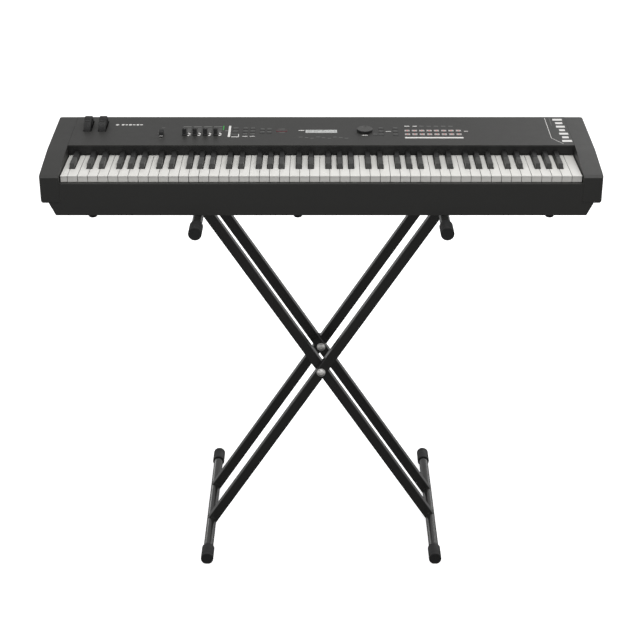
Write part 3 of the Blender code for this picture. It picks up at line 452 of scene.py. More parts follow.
def pivot_bolt(name, body, node, nut_node=None):
    """A domed hexagon-socket bolt with a washer, its thread showing past the nut."""
    low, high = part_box(node)
    head_radius = (high.x - low.x) / 2
    bm = bmesh.new()
    washer = [(4.2 * MM, 0.0), (head_radius, 0.0), (head_radius, -1.2 * MM),
              (head_radius - 0.3 * MM, -1.5 * MM), (4.2 * MM, -1.5 * MM), (4.2 * MM, 0.0)]
    head_face = low.y + 7.0 * MM
    add_turned(bm, washer, (0, head_face, PIVOT.z), "y", 48)
    dome = [(4.0 * MM, -1.5 * MM), (head_radius - 1.4 * MM, -1.5 * MM), (head_radius - 1.4 * MM, -2.6 * MM),
            (head_radius - 2.6 * MM, -4.4 * MM), (head_radius - 4.8 * MM, -5.8 * MM), (3.6 * MM, -6.5 * MM),
            (3.2 * MM, -6.5 * MM), (3.0 * MM, -6.2 * MM), (3.0 * MM, -3.2 * MM), (0.0, -2.8 * MM)]

    def socket(angle, r, h):
        if r > 3.25 * MM or h > -3.0 * MM:
            return r, h
        flat = math.cos((angle + math.pi / 6) % (math.pi / 3) - math.pi / 6)
        return r / max(flat, 0.86) * 0.94, h
    add_turned(bm, dome, (0, head_face, PIVOT.z), "y", 48, shape=socket)
    shank = [(0.0, high.y - head_face), (3.2 * MM, high.y - head_face)]
    level = high.y - head_face - 0.8 * MM
    while level > high.y - head_face - 16 * MM:
        shank += [(3.95 * MM, level), (3.5 * MM, level - 0.6 * MM)]
        level -= 1.25 * MM
    shank += [(4.0 * MM, level), (4.0 * MM, -1.5 * MM)]
    add_turned(bm, shank, (0, head_face, PIVOT.z), "y", 32)
    piece = finish_piece(name, bm, "zinc", body, smooth=40)
    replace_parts(piece, node)
    if nut_node:
        nut_low, nut_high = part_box(nut_node)
        nut = bmesh.new()
        radius, height = (nut_high.x - nut_low.x) / 2, nut_high.y - nut_low.y
        profile = [(4.35 * MM, 0.3 * MM), (4.8 * MM, 0.0), (radius * 0.88, 0.0), (radius, 0.7 * MM),
                   (radius, height - 0.7 * MM), (radius * 0.88, height), (4.8 * MM, height),
                   (4.35 * MM, height - 0.3 * MM), (4.35 * MM, 0.3 * MM)]

        def hexagon(angle, r, h):
            if r < 6 * MM:
                return r, h
            flat = math.cos((angle + math.pi / 6) % (math.pi / 3) - math.pi / 6)
            return min(r, radius * 0.866 / flat), h
        add_turned(nut, profile, (0, nut_low.y, PIVOT.z), "y", 60, shape=hexagon)
        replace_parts(finish_piece(name.replace("bolt", "nut"), nut, "zinc", body), nut_node)


def lock_knob():
    """A clamp knob with six soft lobes and a domed end, on the rear bolt."""
    low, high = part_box("rear_lock_knob")
    radius, length = (high.x - low.x) / 2, high.y - low.y
    bm = bmesh.new()
    profile = [(4.35 * MM, 0.0), (radius * 0.62, 0.0), (radius * 0.66, 0.5 * MM), (radius * 0.66, 3.0 * MM),
               (radius * 0.94, 4.5 * MM), (radius, 6.0 * MM), (radius, length - 4 * MM),
               (radius * 0.95, length - 1.8 * MM), (radius * 0.82, length - 0.5 * MM), (radius * 0.6, length),
               (4.35 * MM, length), (4.35 * MM, 0.0)]

    def lobes(angle, r, h):
        if r < radius * 0.7:
            return r, h
        return r * (1 - 0.09 * (0.5 - 0.5 * math.cos(6 * angle))), h
    add_turned(bm, profile, (0, low.y, PIVOT.z), "y", 96, shape=lobes)
    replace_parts(finish_piece("clamp_knob", bm, "rubber", "lock_knob"), "rear_lock_knob")


def build_stand():
    x = abs(RAIL.x)
    rails = (("left_floor_rail", "floor_stand", -x, RAIL.z), ("right_floor_rail", "inner_frame", x, RAIL.z),
             ("left_top_arm", "inner_frame", -x, ARM.z), ("right_top_arm", "right_support", x, ARM.z))
    for node, body, rail_x, z in rails:
        round_rail(node + "_tube", body, rail_x, z, node)
        short = node.replace("_rail", "").replace("top_", "")
        for end, side in (("front", -1), ("rear", 1)):
            cap = short + "_cap_" + end
            end_cap(cap.replace("_cap_", "_rubber_"), body, rail_x, z, cap, side)
    lean = math.atan2(ARM.x - PIVOT.x, ARM.z - PIVOT.z)
    for node, body, sign in (("outer_front_tube", "outer_frame", 1), ("outer_rear_tube", "outer_frame", 1),
                             ("inner_front_tube", "inner_frame", -1), ("inner_rear_tube", "inner_frame", -1)):
        low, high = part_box(node)
        leg_tube(node.replace("_tube", "_leg"), body, (low.y + high.y) / 2, sign * lean, node)
    pivot_bolt("front_bolt", "outer_frame", "front_pivot_bolt", "front_pivot_nut")
    pivot_bolt("rear_bolt", "outer_frame", "rear_pivot_bolt")
    lock_knob()


# -------- the case
CASE_FRONT = case_low.y - KEY_FRONT_Y
CASE_REAR = case_high.y - KEY_FRONT_Y
SHOULDER_Z = cheek_low.z - KEY_TOP_Z
CHEEK_OUTER_X = cheek_high.x
CHEEK_INNER_X = cheek_low.x
PANEL_REAR_Z = cheek_high.z - KEY_TOP_Z
PANEL_FRONT_Z = PANEL_ORIGIN.z - KEY_TOP_Z
SLOPE = PANEL_UP.z / PANEL_UP.y


def build_cheek(name, node, side):
    """A moulded end block with soft outer corners, upright and underneath."""
    outline = [(CASE_FRONT, SHOULDER_Z), (CASE_FRONT, 0.0), (-4 * MM, 4.7 * MM), (92 * MM, 20.0 * MM),
               (108 * MM, 22.5 * MM), (126 * MM, PANEL_FRONT_Z - 20 * MM * SLOPE),
               (CASE_REAR, PANEL_REAR_Z), (CASE_REAR, SHOULDER_Z)]
    outer = side * CHEEK_OUTER_X
    inner = side * CHEEK_INNER_X
    bm = bmesh.new()
    add_prism(bm, outline, min(inner, outer), max(inner, outer), "x")
    planes = ((1, CASE_FRONT), (1, CASE_REAR), (2, SHOULDER_Z))
    rounded = [edge for edge in bm.edges if all(abs(v.co.x - outer) < 1e-6 for v in edge.verts)
               and any(all(abs(v.co[axis] - level) < 1e-6 for v in edge.verts) for axis, level in planes)]
    bmesh.ops.bevel(bm, geom=rounded, offset=6 * MM, segments=6, profile=0.5, affect="EDGES")
    bm.normal_update()
    bmesh.ops.recalc_face_normals(bm, faces=bm.faces)
    crisp = [edge for edge in bm.edges if len(edge.link_faces) == 2
             and edge.calc_face_angle(0) > math.radians(25)
             and max(abs(v.co.x - inner) for v in edge.verts) > 1e-6]
    bmesh.ops.bevel(bm, geom=crisp, offset=0.7 * MM, segments=3, profile=0.5, affect="EDGES",
                    clamp_overlap=True)
    piece = finish_piece(name, bm, "panel", "piano", PIANO, smooth=30, looks=("case",))
    for face in piece.data.polygons:
        if face.normal.y < -0.8 and face.center.y < KEY_FRONT_Y - 10 * MM:
            face.material_index = 1
    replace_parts(piece, node)


def ease_edges(node, width, angle=40):
    """Round the edges of a CAD node that stays in view."""
    ease = frame["nodes"][node].modifiers.new("eased_edges", "BEVEL")
    ease.width = width
    ease.segments = 2
    ease.limit_method = "ANGLE"
    ease.angle_limit = math.radians(angle)


def build_case():
    """The tray with its front wall and lip keeps its CAD shape, with eased edges."""
    repaint("lower_case", "case")
    ease_edges("lower_case", 0.5 * MM)


def build_panel():
    """The sloping panel keeps its CAD shape; a near-black strip on the wall that the keys run under is
    painted shade.
    """
    repaint("upper_case", "panel")
    ease_edges("upper_case", 0.3 * MM, 60)
    bm = bmesh.new()
    y = panel_low.y - KEY_FRONT_Y + 0.1 * MM
    add_box(bm, (-panel_high.x + 0.6 * MM, y, 1.2 * MM), (panel_high.x - 0.6 * MM, y + 0.5 * MM,
            PANEL_FRONT_Z - 3.2 * MM), 0.15 * MM)
    finish_piece("key_wall_painted_shade", bm, "wall", "piano", PIANO)


def build_inside():
    repaint("key_frame", "case")
    repaint("contact_board", "board")
    repaint("main_board", "board")
    repaint("wheel_bracket", "steel")
    low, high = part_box("main_board")
    bm = bmesh.new()
    random.seed(4)
    for i in range(26):
        x = low.x + 0.02 + i * (high.x - low.x - 0.04) / 25
        y = low.y + 0.010 + random.random() * (high.y - low.y - 0.025)
        size = (4 + 8 * random.random()) * MM
        add_box(bm, (x, y, high.z + 0.1 * MM), (x + size, y + size * 0.8, high.z + 2.2 * MM), 0.3 * MM)
    finish_piece("board_chips", bm, "control", "piano")


def build_feet():
    """Rubber feet with a rounded tread, each in a shallow ring."""
    for place in ("front_left", "front_middle", "front_right", "rear_left", "rear_right"):
        node = "foot_" + place
        low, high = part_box(node)
        r = (high.x - low.x) / 2
        h = high.z - low.z
        bm = bmesh.new()
        profile = [(0.0, h), (r - 0.4 * MM, h), (r, h - 0.4 * MM), (r - 0.2 * MM, h - 1.6 * MM),
                   (r - 1.6 * MM, h - 3.2 * MM), (r - 3.0 * MM, 1.6 * MM), (r - 3.8 * MM, 0.5 * MM),
                   (r - 5.0 * MM, 0.0), (r - 7.5 * MM, 0.0), (r - 8.0 * MM, 0.5 * MM), (0.0, 0.5 * MM)]
        add_turned(bm, profile, ((low.x + high.x) / 2, (low.y + high.y) / 2, low.z), "z", 40)
        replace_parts(finish_piece(node.replace("foot", "pad"), bm, "rubber", "piano"), node)


# -------- the keyboard
BLACK_OFFSETS = {0: -2.7 * MM, 1: 2.6 * MM, 3: -3.0 * MM, 4: 0.2 * MM, 5: 3.7 * MM}
# Front and rear of the black keys, and the depth where painted shade begins on their tops.
BLACK_FRONT, BLACK_REAR, SHADED_FROM = 50 * MM, 145.8 * MM, 100 * MM
BLACK_WIDTH, BLACK_TOP = 12.2 * MM, 12 * MM
KEY_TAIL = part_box("white_keys_1")[1].y - KEY_FRONT_Y


def black_after(white):
    """x of the black key after a white key, counted from the bottom A, or None."""
    note = (white + 5) % 7
    if note not in BLACK_OFFSETS or not 0 <= white < WHITE_KEYS - 1:
        return None
    return KEYBOARD_START + (white + 1) * KEY_PITCH + BLACK_OFFSETS[note]


def octave_of(white):
    return min(max((white - 2) // 7, 0), 6) + 1


def white_key(white):
    """A white key: a plate with a small overhang at the front, on a hollow-fronted body."""
    low = KEYBOARD_START + white * KEY_PITCH + KEY_SLOT / 2
    high = low + KEY_PITCH - KEY_SLOT
    low = max(low, LOWEST_KEY_LEFT)
    before, after = black_after(white - 1), black_after(white)
    room = BLACK_WIDTH / 2 + 1.4 * MM
    tail_low = low if before is None else before + room
    tail_high = high if after is None else after - room
    cut_y = BLACK_FRONT - 1.5 * MM

    def outline(front, inset):
        points = [(low + inset, front), (high - inset, front)]
        if after is not None:
            points += [(high - inset, cut_y), (tail_high - inset, cut_y)]
        points += [(tail_high - inset, KEY_TAIL), (tail_low + inset, KEY_TAIL)]
        if before is not None:
            points += [(tail_low + inset, cut_y), (low + inset, cut_y)]
        return points
    bm = bmesh.new()
    add_prism(bm, outline(0.0, 0.0), -2.6 * MM, 0.0)
    soften(bm, 0.35 * MM, 2, 50)
    add_prism(bm, outline(1.1 * MM, 0.15 * MM), -KEY_HEIGHT, -2.4 * MM)
    bm.normal_update()
    # Side faces between keys get a grey material: painted shade in the gaps.
    for face in bm.faces:
        face.material_index = int(abs(face.normal.x) > 0.98 and 0 < white < WHITE_KEYS)
    name = "white_key_%02d" % (white + 1)
    return finish_piece(name, bm, "white_key", "white_keys_%d" % octave_of(white), PIANO,
                        looks=("key_gap_shade",))


def black_key(white, number):
    """A black key: a tapered block with a sloping front; the rear of its top is painted shade, in the dark
    stem material.
    """
    x = black_after(white)
    half, top_half = BLACK_WIDTH / 2, BLACK_WIDTH / 2 - 0.8 * MM
    bm = bmesh.new()
    base = [(x - half, BLACK_FRONT), (x + half, BLACK_FRONT), (x + half, BLACK_REAR), (x - half, BLACK_REAR)]
    ends, _ = add_prism(bm, base, -1.0 * MM, BLACK_TOP)
    front_top = BLACK_FRONT + 4.5 * MM
    for vert, (side, y) in zip(ends[1], ((-1, front_top), (1, front_top), (1, BLACK_REAR), (-1, BLACK_REAR))):
        vert.co.x = x + side * top_half
        vert.co.y = y
    soften(bm, 0.7 * MM, 3, 30)
    # Split the top and give its rear part the dark stem material: painted shade under the panel's edge.
    bmesh.ops.bisect_plane(bm, geom=bm.verts[:] + bm.edges[:] + bm.faces[:], plane_co=(0, SHADED_FROM, 0),
                           plane_no=(0, 1, 0))
    for face in bm.faces:
        face.material_index = int(face.calc_center_median().y > SHADED_FROM)
    add_box(bm, (x - half + 0.3 * MM, BLACK_FRONT + 1 * MM, -15 * MM),
            (x + half - 0.3 * MM, 194 * MM, -0.9 * MM), material=1)
    name = "black_key_%02d" % number
    return finish_piece(name, bm, "black_key", "black_keys_%d" % octave_of(white), PIANO,
                        smooth=50, looks=("key_stem_and_shade",))


def build_keyboard():
    firsts = {}
    number = 0
    for white in range(WHITE_KEYS):
        piece = white_key(white)
        firsts.setdefault("white_keys_%d" % octave_of(white), piece)
        if black_after(white) is not None:
            number += 1
            black = black_key(white, number)
            firsts.setdefault("black_keys_%d" % octave_of(white), black)
    for node, piece in firsts.items():
        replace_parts(piece, node)


# -------- the controls
# Places on the panel are (x, distance up the slope from its front edge).
WHEEL_GROOVE = math.radians(115)
FUNCTION_BUTTONS = (
    [(-211.5, y, 12, 6) for y in (103, 82, 61.5)]
    + [(x, y, 12, 6) for x in (-187, -169) for y in (103, 84.5, 66)]
    + [(x, y, 12, 6) for x in (-145, -128) for y in (98, 78)]
)
RED_BUTTON = (-97.6, 91.8, 26, 11)
NAVIGATION_BUTTONS = [(x, y, 13, 6) for x in (148.4, 183.6) for y in (105, 84.3, 64.1)]
NAVIGATION_BUTTONS += [(133, 64.1, 11, 6)]
CATEGORY_BUTTONS = [(212.5 + 18.1 * i, y, 13, 8) for i in range(8) for y in (91.5, 68.6)]
EXTRA_BUTTON = (357.5, 85.7, 12, 6)


def build_wheel(name, node, body, groove):
    """A rubber wheel with a finger groove across its rim and rounded shoulders."""
    joint = JOINTS[{"pitch_wheel": "pitch_bend", "mod_wheel": "modulation"}[node]]
    centre = Vector(joint["pos_m"])
    low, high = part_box(node)
    half, radius = (high.x - low.x) / 2, (high.z - low.z) / 2
    bm = bmesh.new()
    profile = [(3.4 * MM, half - 1 * MM), (radius - 9 * MM, half - 1 * MM), (radius - 8 * MM, half),
               (radius - 1.0 * MM, half), (radius - 0.3 * MM, half - 0.35 * MM), (radius, half - 1.0 * MM)]
    profile += [(radius, 2.0 * MM), (radius, -2.0 * MM)]
    profile += [(r, -h) for r, h in reversed(profile[:6])] + [(3.4 * MM, half - 1 * MM)]

    def grooved(angle, r, h):
        if r < radius - 6 * MM:
            return r, h
        away = abs((angle - groove + math.pi) % (2 * math.pi) - math.pi)
        dip = 2.6 * MM * max(0.0, 1 - (away / 0.16) ** 2)
        rib = 0.18 * MM * math.cos(90 * angle) if away > 0.2 and r > radius - 0.2 * MM else 0.0
        return r - dip - max(rib, 0.0), h
    add_turned(bm, profile, steps=360, shape=grooved)
    bmesh.ops.remove_doubles(bm, verts=bm.verts, dist=0.001 * MM)
    # Turned about z with angle 0 on x; stand it so that x is the axle and angle 90 is the top.
    stand = Matrix(((0, 0, 1, 0), (1, 0, 0, 0), (0, 1, 0, 0), (0, 0, 0, 1)))
    tilt = Matrix.Rotation(math.atan(SLOPE), 4, "X")
    place = Matrix.Translation(centre) @ tilt @ stand
    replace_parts(finish_piece(name, bm, "wheel", body, place, smooth=25), node)


def build_slider():
    low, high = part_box("volume_slider")
    x = (low.x + high.x) / 2 / MM
    y = (Vector(((low + high) / 2)) - PANEL_ORIGIN).dot(PANEL_UP) / MM
    bm = bmesh.new()
    crest = [(y - 10, 0.8), (y - 9.4, 10.5), (y - 8.2, 12.3), (y - 6, 13)]
    hollow = [math.radians(a) for a in range(-75, 76, 15)]
    crest += [(y + 6 * math.sin(a), 13 - 2.2 * math.cos(a)) for a in hollow]
    crest += [(y + 6, 13), (y + 8.2, 12.3), (y + 9.4, 10.5), (y + 10, 0.8)]
    add_prism(bm, [(u * MM, v * MM) for u, v in crest], (x - 5.2) * MM, (x + 5.2) * MM, "x")
    soften(bm, 0.6 * MM, 2, 40)
    add_box(bm, ((x - 1.2) * MM, (y - 3) * MM, -11.5 * MM), ((x + 1.2) * MM, (y + 3) * MM, 2 * MM))
    add_box(bm, ((x - 4.2) * MM, (y - 10.4) * MM, 1.4 * MM), ((x + 4.2) * MM, (y - 9.8) * MM, 2.8 * MM),
            material=1)
    piece = finish_piece("volume_cap", bm, "control", "volume_slider", PANEL,
                         looks=("ink",))
    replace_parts(piece, "volume_slider")
    trough = bmesh.new()
    add_box(trough, ((x - 4) * MM, 44 * MM, -9 * MM), ((x - 2) * MM, 105 * MM, -3.2 * MM), 0.2 * MM)
    add_box(trough, ((x + 2) * MM, 44 * MM, -9 * MM), ((x + 4) * MM, 105 * MM, -3.2 * MM), 0.2 * MM)
    finish_piece("slider_guides", trough, "control", "piano", PANEL)


def build_knobs():
    """Small pot knobs with fine flutes, a domed top and a white pointer."""
    for number in range(1, 5):
        node = "assign_knob_%d" % number
        centre = Vector(JOINTS["assign_%d_turn" % number]["pos_m"])
        x, y = centre.x, (centre - PANEL_ORIGIN).dot(PANEL_UP)
        bm = bmesh.new()
        profile = [(0.0, 17.5), (2.6, 17.5), (3.9, 17.3), (4.6, 16.8), (5.0, 15.8), (5.2, 4.0), (5.3, 3.0),
                   (5.9, 2.5), (6.2, 1.9), (6.2, 0.8), (3.0, 0.8), (3.0, -9.8), (0.0, -9.8)]

        def fluted(angle, r, h):
            if r > 4.8 * MM and 3.5 * MM < h < 16.2 * MM:
                return r - 0.22 * MM * (0.5 + 0.5 * math.cos(20 * angle)), h
            return r, h
        add_turned(bm, [(r * MM, h * MM) for r, h in profile], (x, y, 0), steps=120, shape=fluted)
        add_box(bm, (x - 0.45 * MM, y + 0.8 * MM, 17.3 * MM), (x + 0.45 * MM, y + 4.0 * MM, 17.62 * MM),
                0.08 * MM, material=1)
        add_box(bm, (x - 0.45 * MM, y + 4.6 * MM, 6 * MM), (x + 0.45 * MM, y + 5.25 * MM, 16 * MM), 0.08 * MM,
                material=1)
        piece = finish_piece("knob_%d" % number, bm, "control", node, PANEL,
                             looks=("ink",))
        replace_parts(piece, node)


def build_dial():
    """The data dial: a fluted skirt, a flat top and a finger dimple."""
    centre = Vector(JOINTS["data_turn"]["pos_m"])
    x, y = centre.x, (centre - PANEL_ORIGIN).dot(PANEL_UP)
    low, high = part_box("data_dial")
    radius = (high.x - low.x) / 2
    height = 7.0 * MM
    bm = bmesh.new()
    rings = 44
    profile = [(radius * i / rings, height) for i in range(rings - 2)]
    profile += [(radius - 1.0 * MM, height - 0.1 * MM), (radius - 0.4 * MM, height - 0.5 * MM),
                (radius, height - 1.4 * MM), (radius, 1.6 * MM), (radius - 0.6 * MM, 0.9 * MM),
                (3.0 * MM, 0.9 * MM), (3.0 * MM, -9.8 * MM), (0.0, -9.8 * MM)]

    def shaped(angle, r, h):
        if h > height - 0.01 * MM:
            dx, dy = r * math.cos(angle), r * math.sin(angle) - 10.5 * MM
            away = math.hypot(dx, dy) / (5.8 * MM)
            return r, h - 1.5 * MM * max(0.0, 1 - away ** 2) ** 1.3
        if r > radius - 0.1 * MM:
            return r - 0.3 * MM * (0.5 + 0.5 * math.cos(48 * angle)), h
        return r, h
    add_turned(bm, profile, (x, y, 0), steps=192, shape=shaped)
    for face in bm.faces:
        if face.calc_center_median().z < height - 0.3 * MM and \
                (face.calc_center_median().xy - Vector((x, y))).length > radius - 1.2 * MM:
            face.material_index = 1
    piece = finish_piece("data_wheel", bm, "dial", "data_dial", PANEL,
                         looks=("control",))
    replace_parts(piece, "data_dial")


def button_group(name, node, groups):
    """Buttons in their windows, on the mat that joins them under the panel."""
    bm = bmesh.new()
    looks = []
    spots = []
    for look, rise, buttons in groups:
        if look not in looks:
            looks.append(look)
        for x, y, w, d in buttons:
            low = ((x - w / 2) * MM, (y - d / 2) * MM, -4.2 * MM)
            high = ((x + w / 2) * MM, (y + d / 2) * MM, rise * MM)
            add_box(bm, low, high, 0.7 * MM, 3, looks.index(look))
            spots.append((x, y, w, d))
    margin = 2.4
    low = (min(x - w / 2 for x, y, w, d in spots) - margin, min(y - d / 2 for x, y, w, d in spots) - margin)
    high = (max(x + w / 2 for x, y, w, d in spots) + margin, max(y + d / 2 for x, y, w, d in spots) + margin)
    add_box(bm, (low[0] * MM, low[1] * MM, -5.1 * MM), (high[0] * MM, high[1] * MM, -3.9 * MM), 0.3 * MM)
    piece = finish_piece(name, bm, looks[0], node, PANEL, looks=looks[1:])
    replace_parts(piece, node)
    return piece


def build_buttons():
    button_group("function_keys", "function_buttons",
                 [("button", 0.95, FUNCTION_BUTTONS), ("red_button", 0.98, [RED_BUTTON])])
    button_group("navigation_keys", "navigation_buttons", [("button", 0.95, NAVIGATION_BUTTONS)])
    button_group("category_keys", "category_buttons",
                 [("pale_button", 0.98, CATEGORY_BUTTONS), ("button", 0.95, [EXTRA_BUTTON])])
    lamps = bmesh.new()
    for x, y, *_ in CATEGORY_BUTTONS:
        dome = [(0.0, 1.25 * MM), (1.5 * MM, 1.2 * MM), (2.2 * MM, 0.9 * MM), (2.3 * MM, 0.4 * MM)]
        add_turned(lamps, dome, (x * MM, y * MM, 0), steps=20)
    finish_piece("category_lamps", lamps, "red_led", "category_buttons", PANEL)


def build_display():
    """A clear window over a grey screen with small dark blocks, in a black frame."""
    low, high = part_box("display")
    x = (low.x + high.x) / 2
    bm = bmesh.new()
    y, w, d = 89.3 * MM, 39 * MM, 10 * MM
    add_box(bm, (x - w, y - d, -6 * MM), (x + w, y + d, -0.35 * MM), 0.3 * MM)
    add_box(bm, (x - w - 4.9 * MM, y - d - 3.9 * MM, -10.9 * MM),
            (x + w + 4.9 * MM, y + d + 3.9 * MM, -3.5 * MM), 0.5 * MM, material=1)
    random.seed(11)
    for row in range(2):
        for column in range(18):
            if random.random() < 0.3:
                continue
            px, py = x - w + (5 + column * 3.9) * MM, y + (3.6 - row * 8) * MM
            tall = (2.0 + 1.6 * random.random()) * MM
            add_box(bm, (px, py, -0.36 * MM), (px + 2.4 * MM, py + tall, -0.30 * MM), material=2)
    piece = finish_piece("display_window", bm, "screen", "piano", PANEL, looks=("control", "pixel"))
    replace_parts(piece, "display")


def flat_mark(bm, x, y, w, d, lean=0.0):
    """A printed bar, w by d millimetres, on the panel."""
    place = Matrix.Translation((x * MM, y * MM, 0)) @ Matrix.Rotation(lean, 4, "Z")
    before = set(bm.verts)
    add_box(bm, (-w / 2 * MM, -d / 2 * MM, -0.02 * MM), (w / 2 * MM, d / 2 * MM, 0.06 * MM))
    bmesh.ops.transform(bm, matrix=place, verts=[v for v in bm.verts if v not in before])


def build_prints():
    """White and grey legends as plain bars, boxes and chevrons, with no lettering."""
    white = bmesh.new()
    flat_mark(white, -226.3, 88, 5.6, 72)
    flat_mark(white, -211.2, 53.0, 18.4, 3.6)
    flat_mark(white, -202.8, 61.5, 1.8, 18)
    for x in (-187, -169):
        flat_mark(white, x, 56.6, 13.0, 3.0)
    for number in range(1, 5):
        centre = Vector(JOINTS["assign_%d_turn" % number]["pos_m"])
        x = centre.x / MM + 11.0
        for side in (-1, 1):
            flat_mark(white, x, 69 + side * 5.6, 9.0, 3.8, -side * math.radians(52))
    marks = ((-48.7, 94.1, 14, 4.0), (107.3, 63.0, 14.5, 3.2), (166.0, 88, 13.0, 2.6),
             (277.0, 47.5, 143.0, 8.0), (213.4, 121.8, 13, 4.0), (233.0, 121.8, 11, 4.0))
    for mark in marks:
        flat_mark(white, *mark)
    finish_piece("white_legends", white, "ink", "piano", PANEL)
    grey = bmesh.new()
    flat_mark(grey, -233.0, 92, 8.0, 4.0)
    flat_mark(grey, -211.2, 70.8, 18.4, 2.0)
    flat_mark(grey, -97.6, 103.5, 16, 2.6)
    for number in range(1, 5):
        x = Vector(JOINTS["assign_%d_turn" % number]["pos_m"]).x / MM
        flat_mark(grey, x + 4, 118, 20, 4.2)
        flat_mark(grey, x + 9.5, 103, 9, 4.0)
        flat_mark(grey, x + 9.5, 90, 9, 5.0)
    for x, y, *_ in FUNCTION_BUTTONS[3:]:
        flat_mark(grey, x, y + 8.2, 10, 2.2)
    for x, y, *_ in FUNCTION_BUTTONS[:2]:
        flat_mark(grey, x, y + 9.0, 12, 2.6)
    for x, y, *_ in NAVIGATION_BUTTONS:
        flat_mark(grey, x, y + 7.4, 10, 1.8)
    flat_mark(grey, EXTRA_BUTTON[0], EXTRA_BUTTON[1] + 8, 12, 2.0)
    for i in range(2, 7):
        flat_mark(grey, 213.4 + 18.1 * i, 121.8, 11, 3.2)
    for i in range(9):
        flat_mark(grey, -50 + 14 * i, 52 - (i % 3) * 4, 9, 2.0)
    flat_mark(grey, -391.5, 112, 8, 2.0)
    for i in range(5):
        flat_mark(grey, -401, 52 + 11.2 * i, 4, 1.2)
    flat_mark(grey, -391.5, 40.5, 8, 2.2)
    flat_mark(grey, -97.6, 81.0, 16, 2.0)
    for i in range(16):
        x, y, *_ = CATEGORY_BUTTONS[i]
        flat_mark(grey, x, y + (7.5 if i % 2 == 0 else -7.0), 12, 1.6)
    finish_piece("grey_legends", grey, "grey_ink", "piano", PANEL)
    lamp = bmesh.new()
    for i in range(3):
        low = (-243.4 * MM, (97 + 9.2 * i) * MM, -0.5 * MM)
        high = (-240.9 * MM, (105 + 9.2 * i) * MM, 0.4 * MM)
        add_box(lamp, low, high, 0.3 * MM)
    finish_piece("status_lamps", lamp, "green_led", "piano", PANEL)
    build_motifs()


def build_motifs():
    """Plain bar patterns at both ends, and the fine pin line at the right."""
    mark = bmesh.new()
    dot = [(0.0, 0.06 * MM), (4.2 * MM, 0.06 * MM), (4.2 * MM, -0.02 * MM)]
    add_turned(mark, dot, (-508 * MM, 131 * MM, 0), steps=32)
    for i in range(6):
        flat_mark(mark, -494 + 9.2 * i, 131, 6.4, 5.0 if i % 2 else 7.5)
    flat_mark(mark, 563.1, 111, 1.3, 132)
    flat_mark(mark, 575.3, 27, 1.3, 43, math.radians(34.5))
    for i, width in enumerate((24, 16, 22, 14, 22, 18, 24)):
        flat_mark(mark, 599 - 0.9 * i, 27 + 23 * i, width, 12)
    finish_piece("panel_motifs", mark, "ink", "piano", PANEL)
    fine = bmesh.new()
    flat_mark(fine, 574.5, 152, 1.2, 52)
    finish_piece("fine_legend", fine, "grey_ink", "piano", PANEL)
    seams = bmesh.new()
    for side in (-1, 1):
        flat_mark(seams, side * CHEEK_INNER_X / MM, 63, 0.9, 122)
    finish_piece("panel_seams", seams, "wall", "piano", PANEL)


def build_underside():
    """Screws and a louvred vent under the case."""
    z = case_low.z
    bm = bmesh.new()
    spots = [(x, y) for x in (-0.58, -0.40, 0.40, 0.58) for y in (-0.120, 0.010, 0.120)]
    for x, y in spots:
        profile = [(0.0, -0.35 * MM), (1.0 * MM, -0.35 * MM), (2.6 * MM, -0.55 * MM), (3.3 * MM, -0.2 * MM),
                   (3.4 * MM, 0.2 * MM)]
        add_turned(bm, profile, (x, y, z), "z", 28)
    finish_piece("case_screws", bm, "steel", "piano")
    ribs = bmesh.new()
    for i in range(12):
        x = -0.545 + 0.010 * i
        add_box(ribs, (x, 0.060, z - 0.5 * MM), (x + 4 * MM, 0.110, z + 0.2 * MM), 0.3 * MM)
    finish_piece("vent_louvres", ribs, "case", "piano")


def build_back():
    """Sockets on the back wall, each a ring with a dark throat, and a rocker switch."""
    y = case_high.y
    z = KEY_TOP_Z - 20 * MM
    rings = bmesh.new()
    throats = bmesh.new()
    jacks = [(-0.50, 5.6), (-0.46, 5.6), (-0.36, 5.6), (-0.32, 5.6), (-0.28, 5.6), (-0.02, 7.6), (0.02, 7.6),
             (0.52, 4.4)]
    for x, radius in jacks:
        r = radius * MM
        add_turned(rings, [(r * 0.58, -1.0 * MM), (r * 0.58, 1.3 * MM), (r * 0.72, 1.7 * MM), (r, 1.6 * MM),
                           (r * 1.15, 1.0 * MM), (r * 1.15, -1.0 * MM)], (x, y, z), "y", 40)
        cone = [(r * 0.6, -0.4 * MM), (r * 0.3, -0.5 * MM), (0.0, -0.5 * MM)]
        add_turned(throats, cone, (x, y + 0.6 * MM, z), "y", 32)
    for x, w, h in ((0.10, 12.5, 11.0), (0.14, 14.0, 7.0)):
        low = (x - w / 2 * MM, y - 1 * MM, z - h / 2 * MM)
        high = (x + w / 2 * MM, y + 1.2 * MM, z + h / 2 * MM)
        add_box(rings, low, high, 0.6 * MM, material=1)
        add_box(throats, (low[0] + 2 * MM, y, low[2] + 1.6 * MM),
                (high[0] - 2 * MM, y + 1.35 * MM, high[2] - 1.6 * MM), 0.3 * MM)
    finish_piece("socket_rings", rings, "steel", "piano", looks=("zinc",))
    finish_piece("socket_throats", throats, "disc", "piano")
    legends = bmesh.new()
    for x, radius in jacks:
        add_box(legends, (x - 6 * MM, y - 0.1 * MM, z + 13 * MM), (x + 6 * MM, y + 0.06 * MM, z + 15 * MM))
    finish_piece("back_legends", legends, "grey_ink", "piano")
    low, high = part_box("power_switch")
    frame_ring = bmesh.new()
    for x0, x1, z0, z1 in ((low.x - 3 * MM, low.x - 0.5 * MM, low.z - 4 * MM, high.z + 4 * MM),
                           (high.x + 0.5 * MM, high.x + 3 * MM, low.z - 4 * MM, high.z + 4 * MM),
                           (low.x - 3 * MM, high.x + 3 * MM, low.z - 4 * MM, low.z - 1.7 * MM),
                           (low.x - 3 * MM, high.x + 3 * MM, high.z + 1.7 * MM, high.z + 4 * MM)):
        add_box(frame_ring, (x0, y - 0.2 * MM, z0), (x1, y + 0.8 * MM, z1), 0.2 * MM)
    finish_piece("switch_frame", frame_ring, "control", "piano")
    repaint("power_switch", "control")


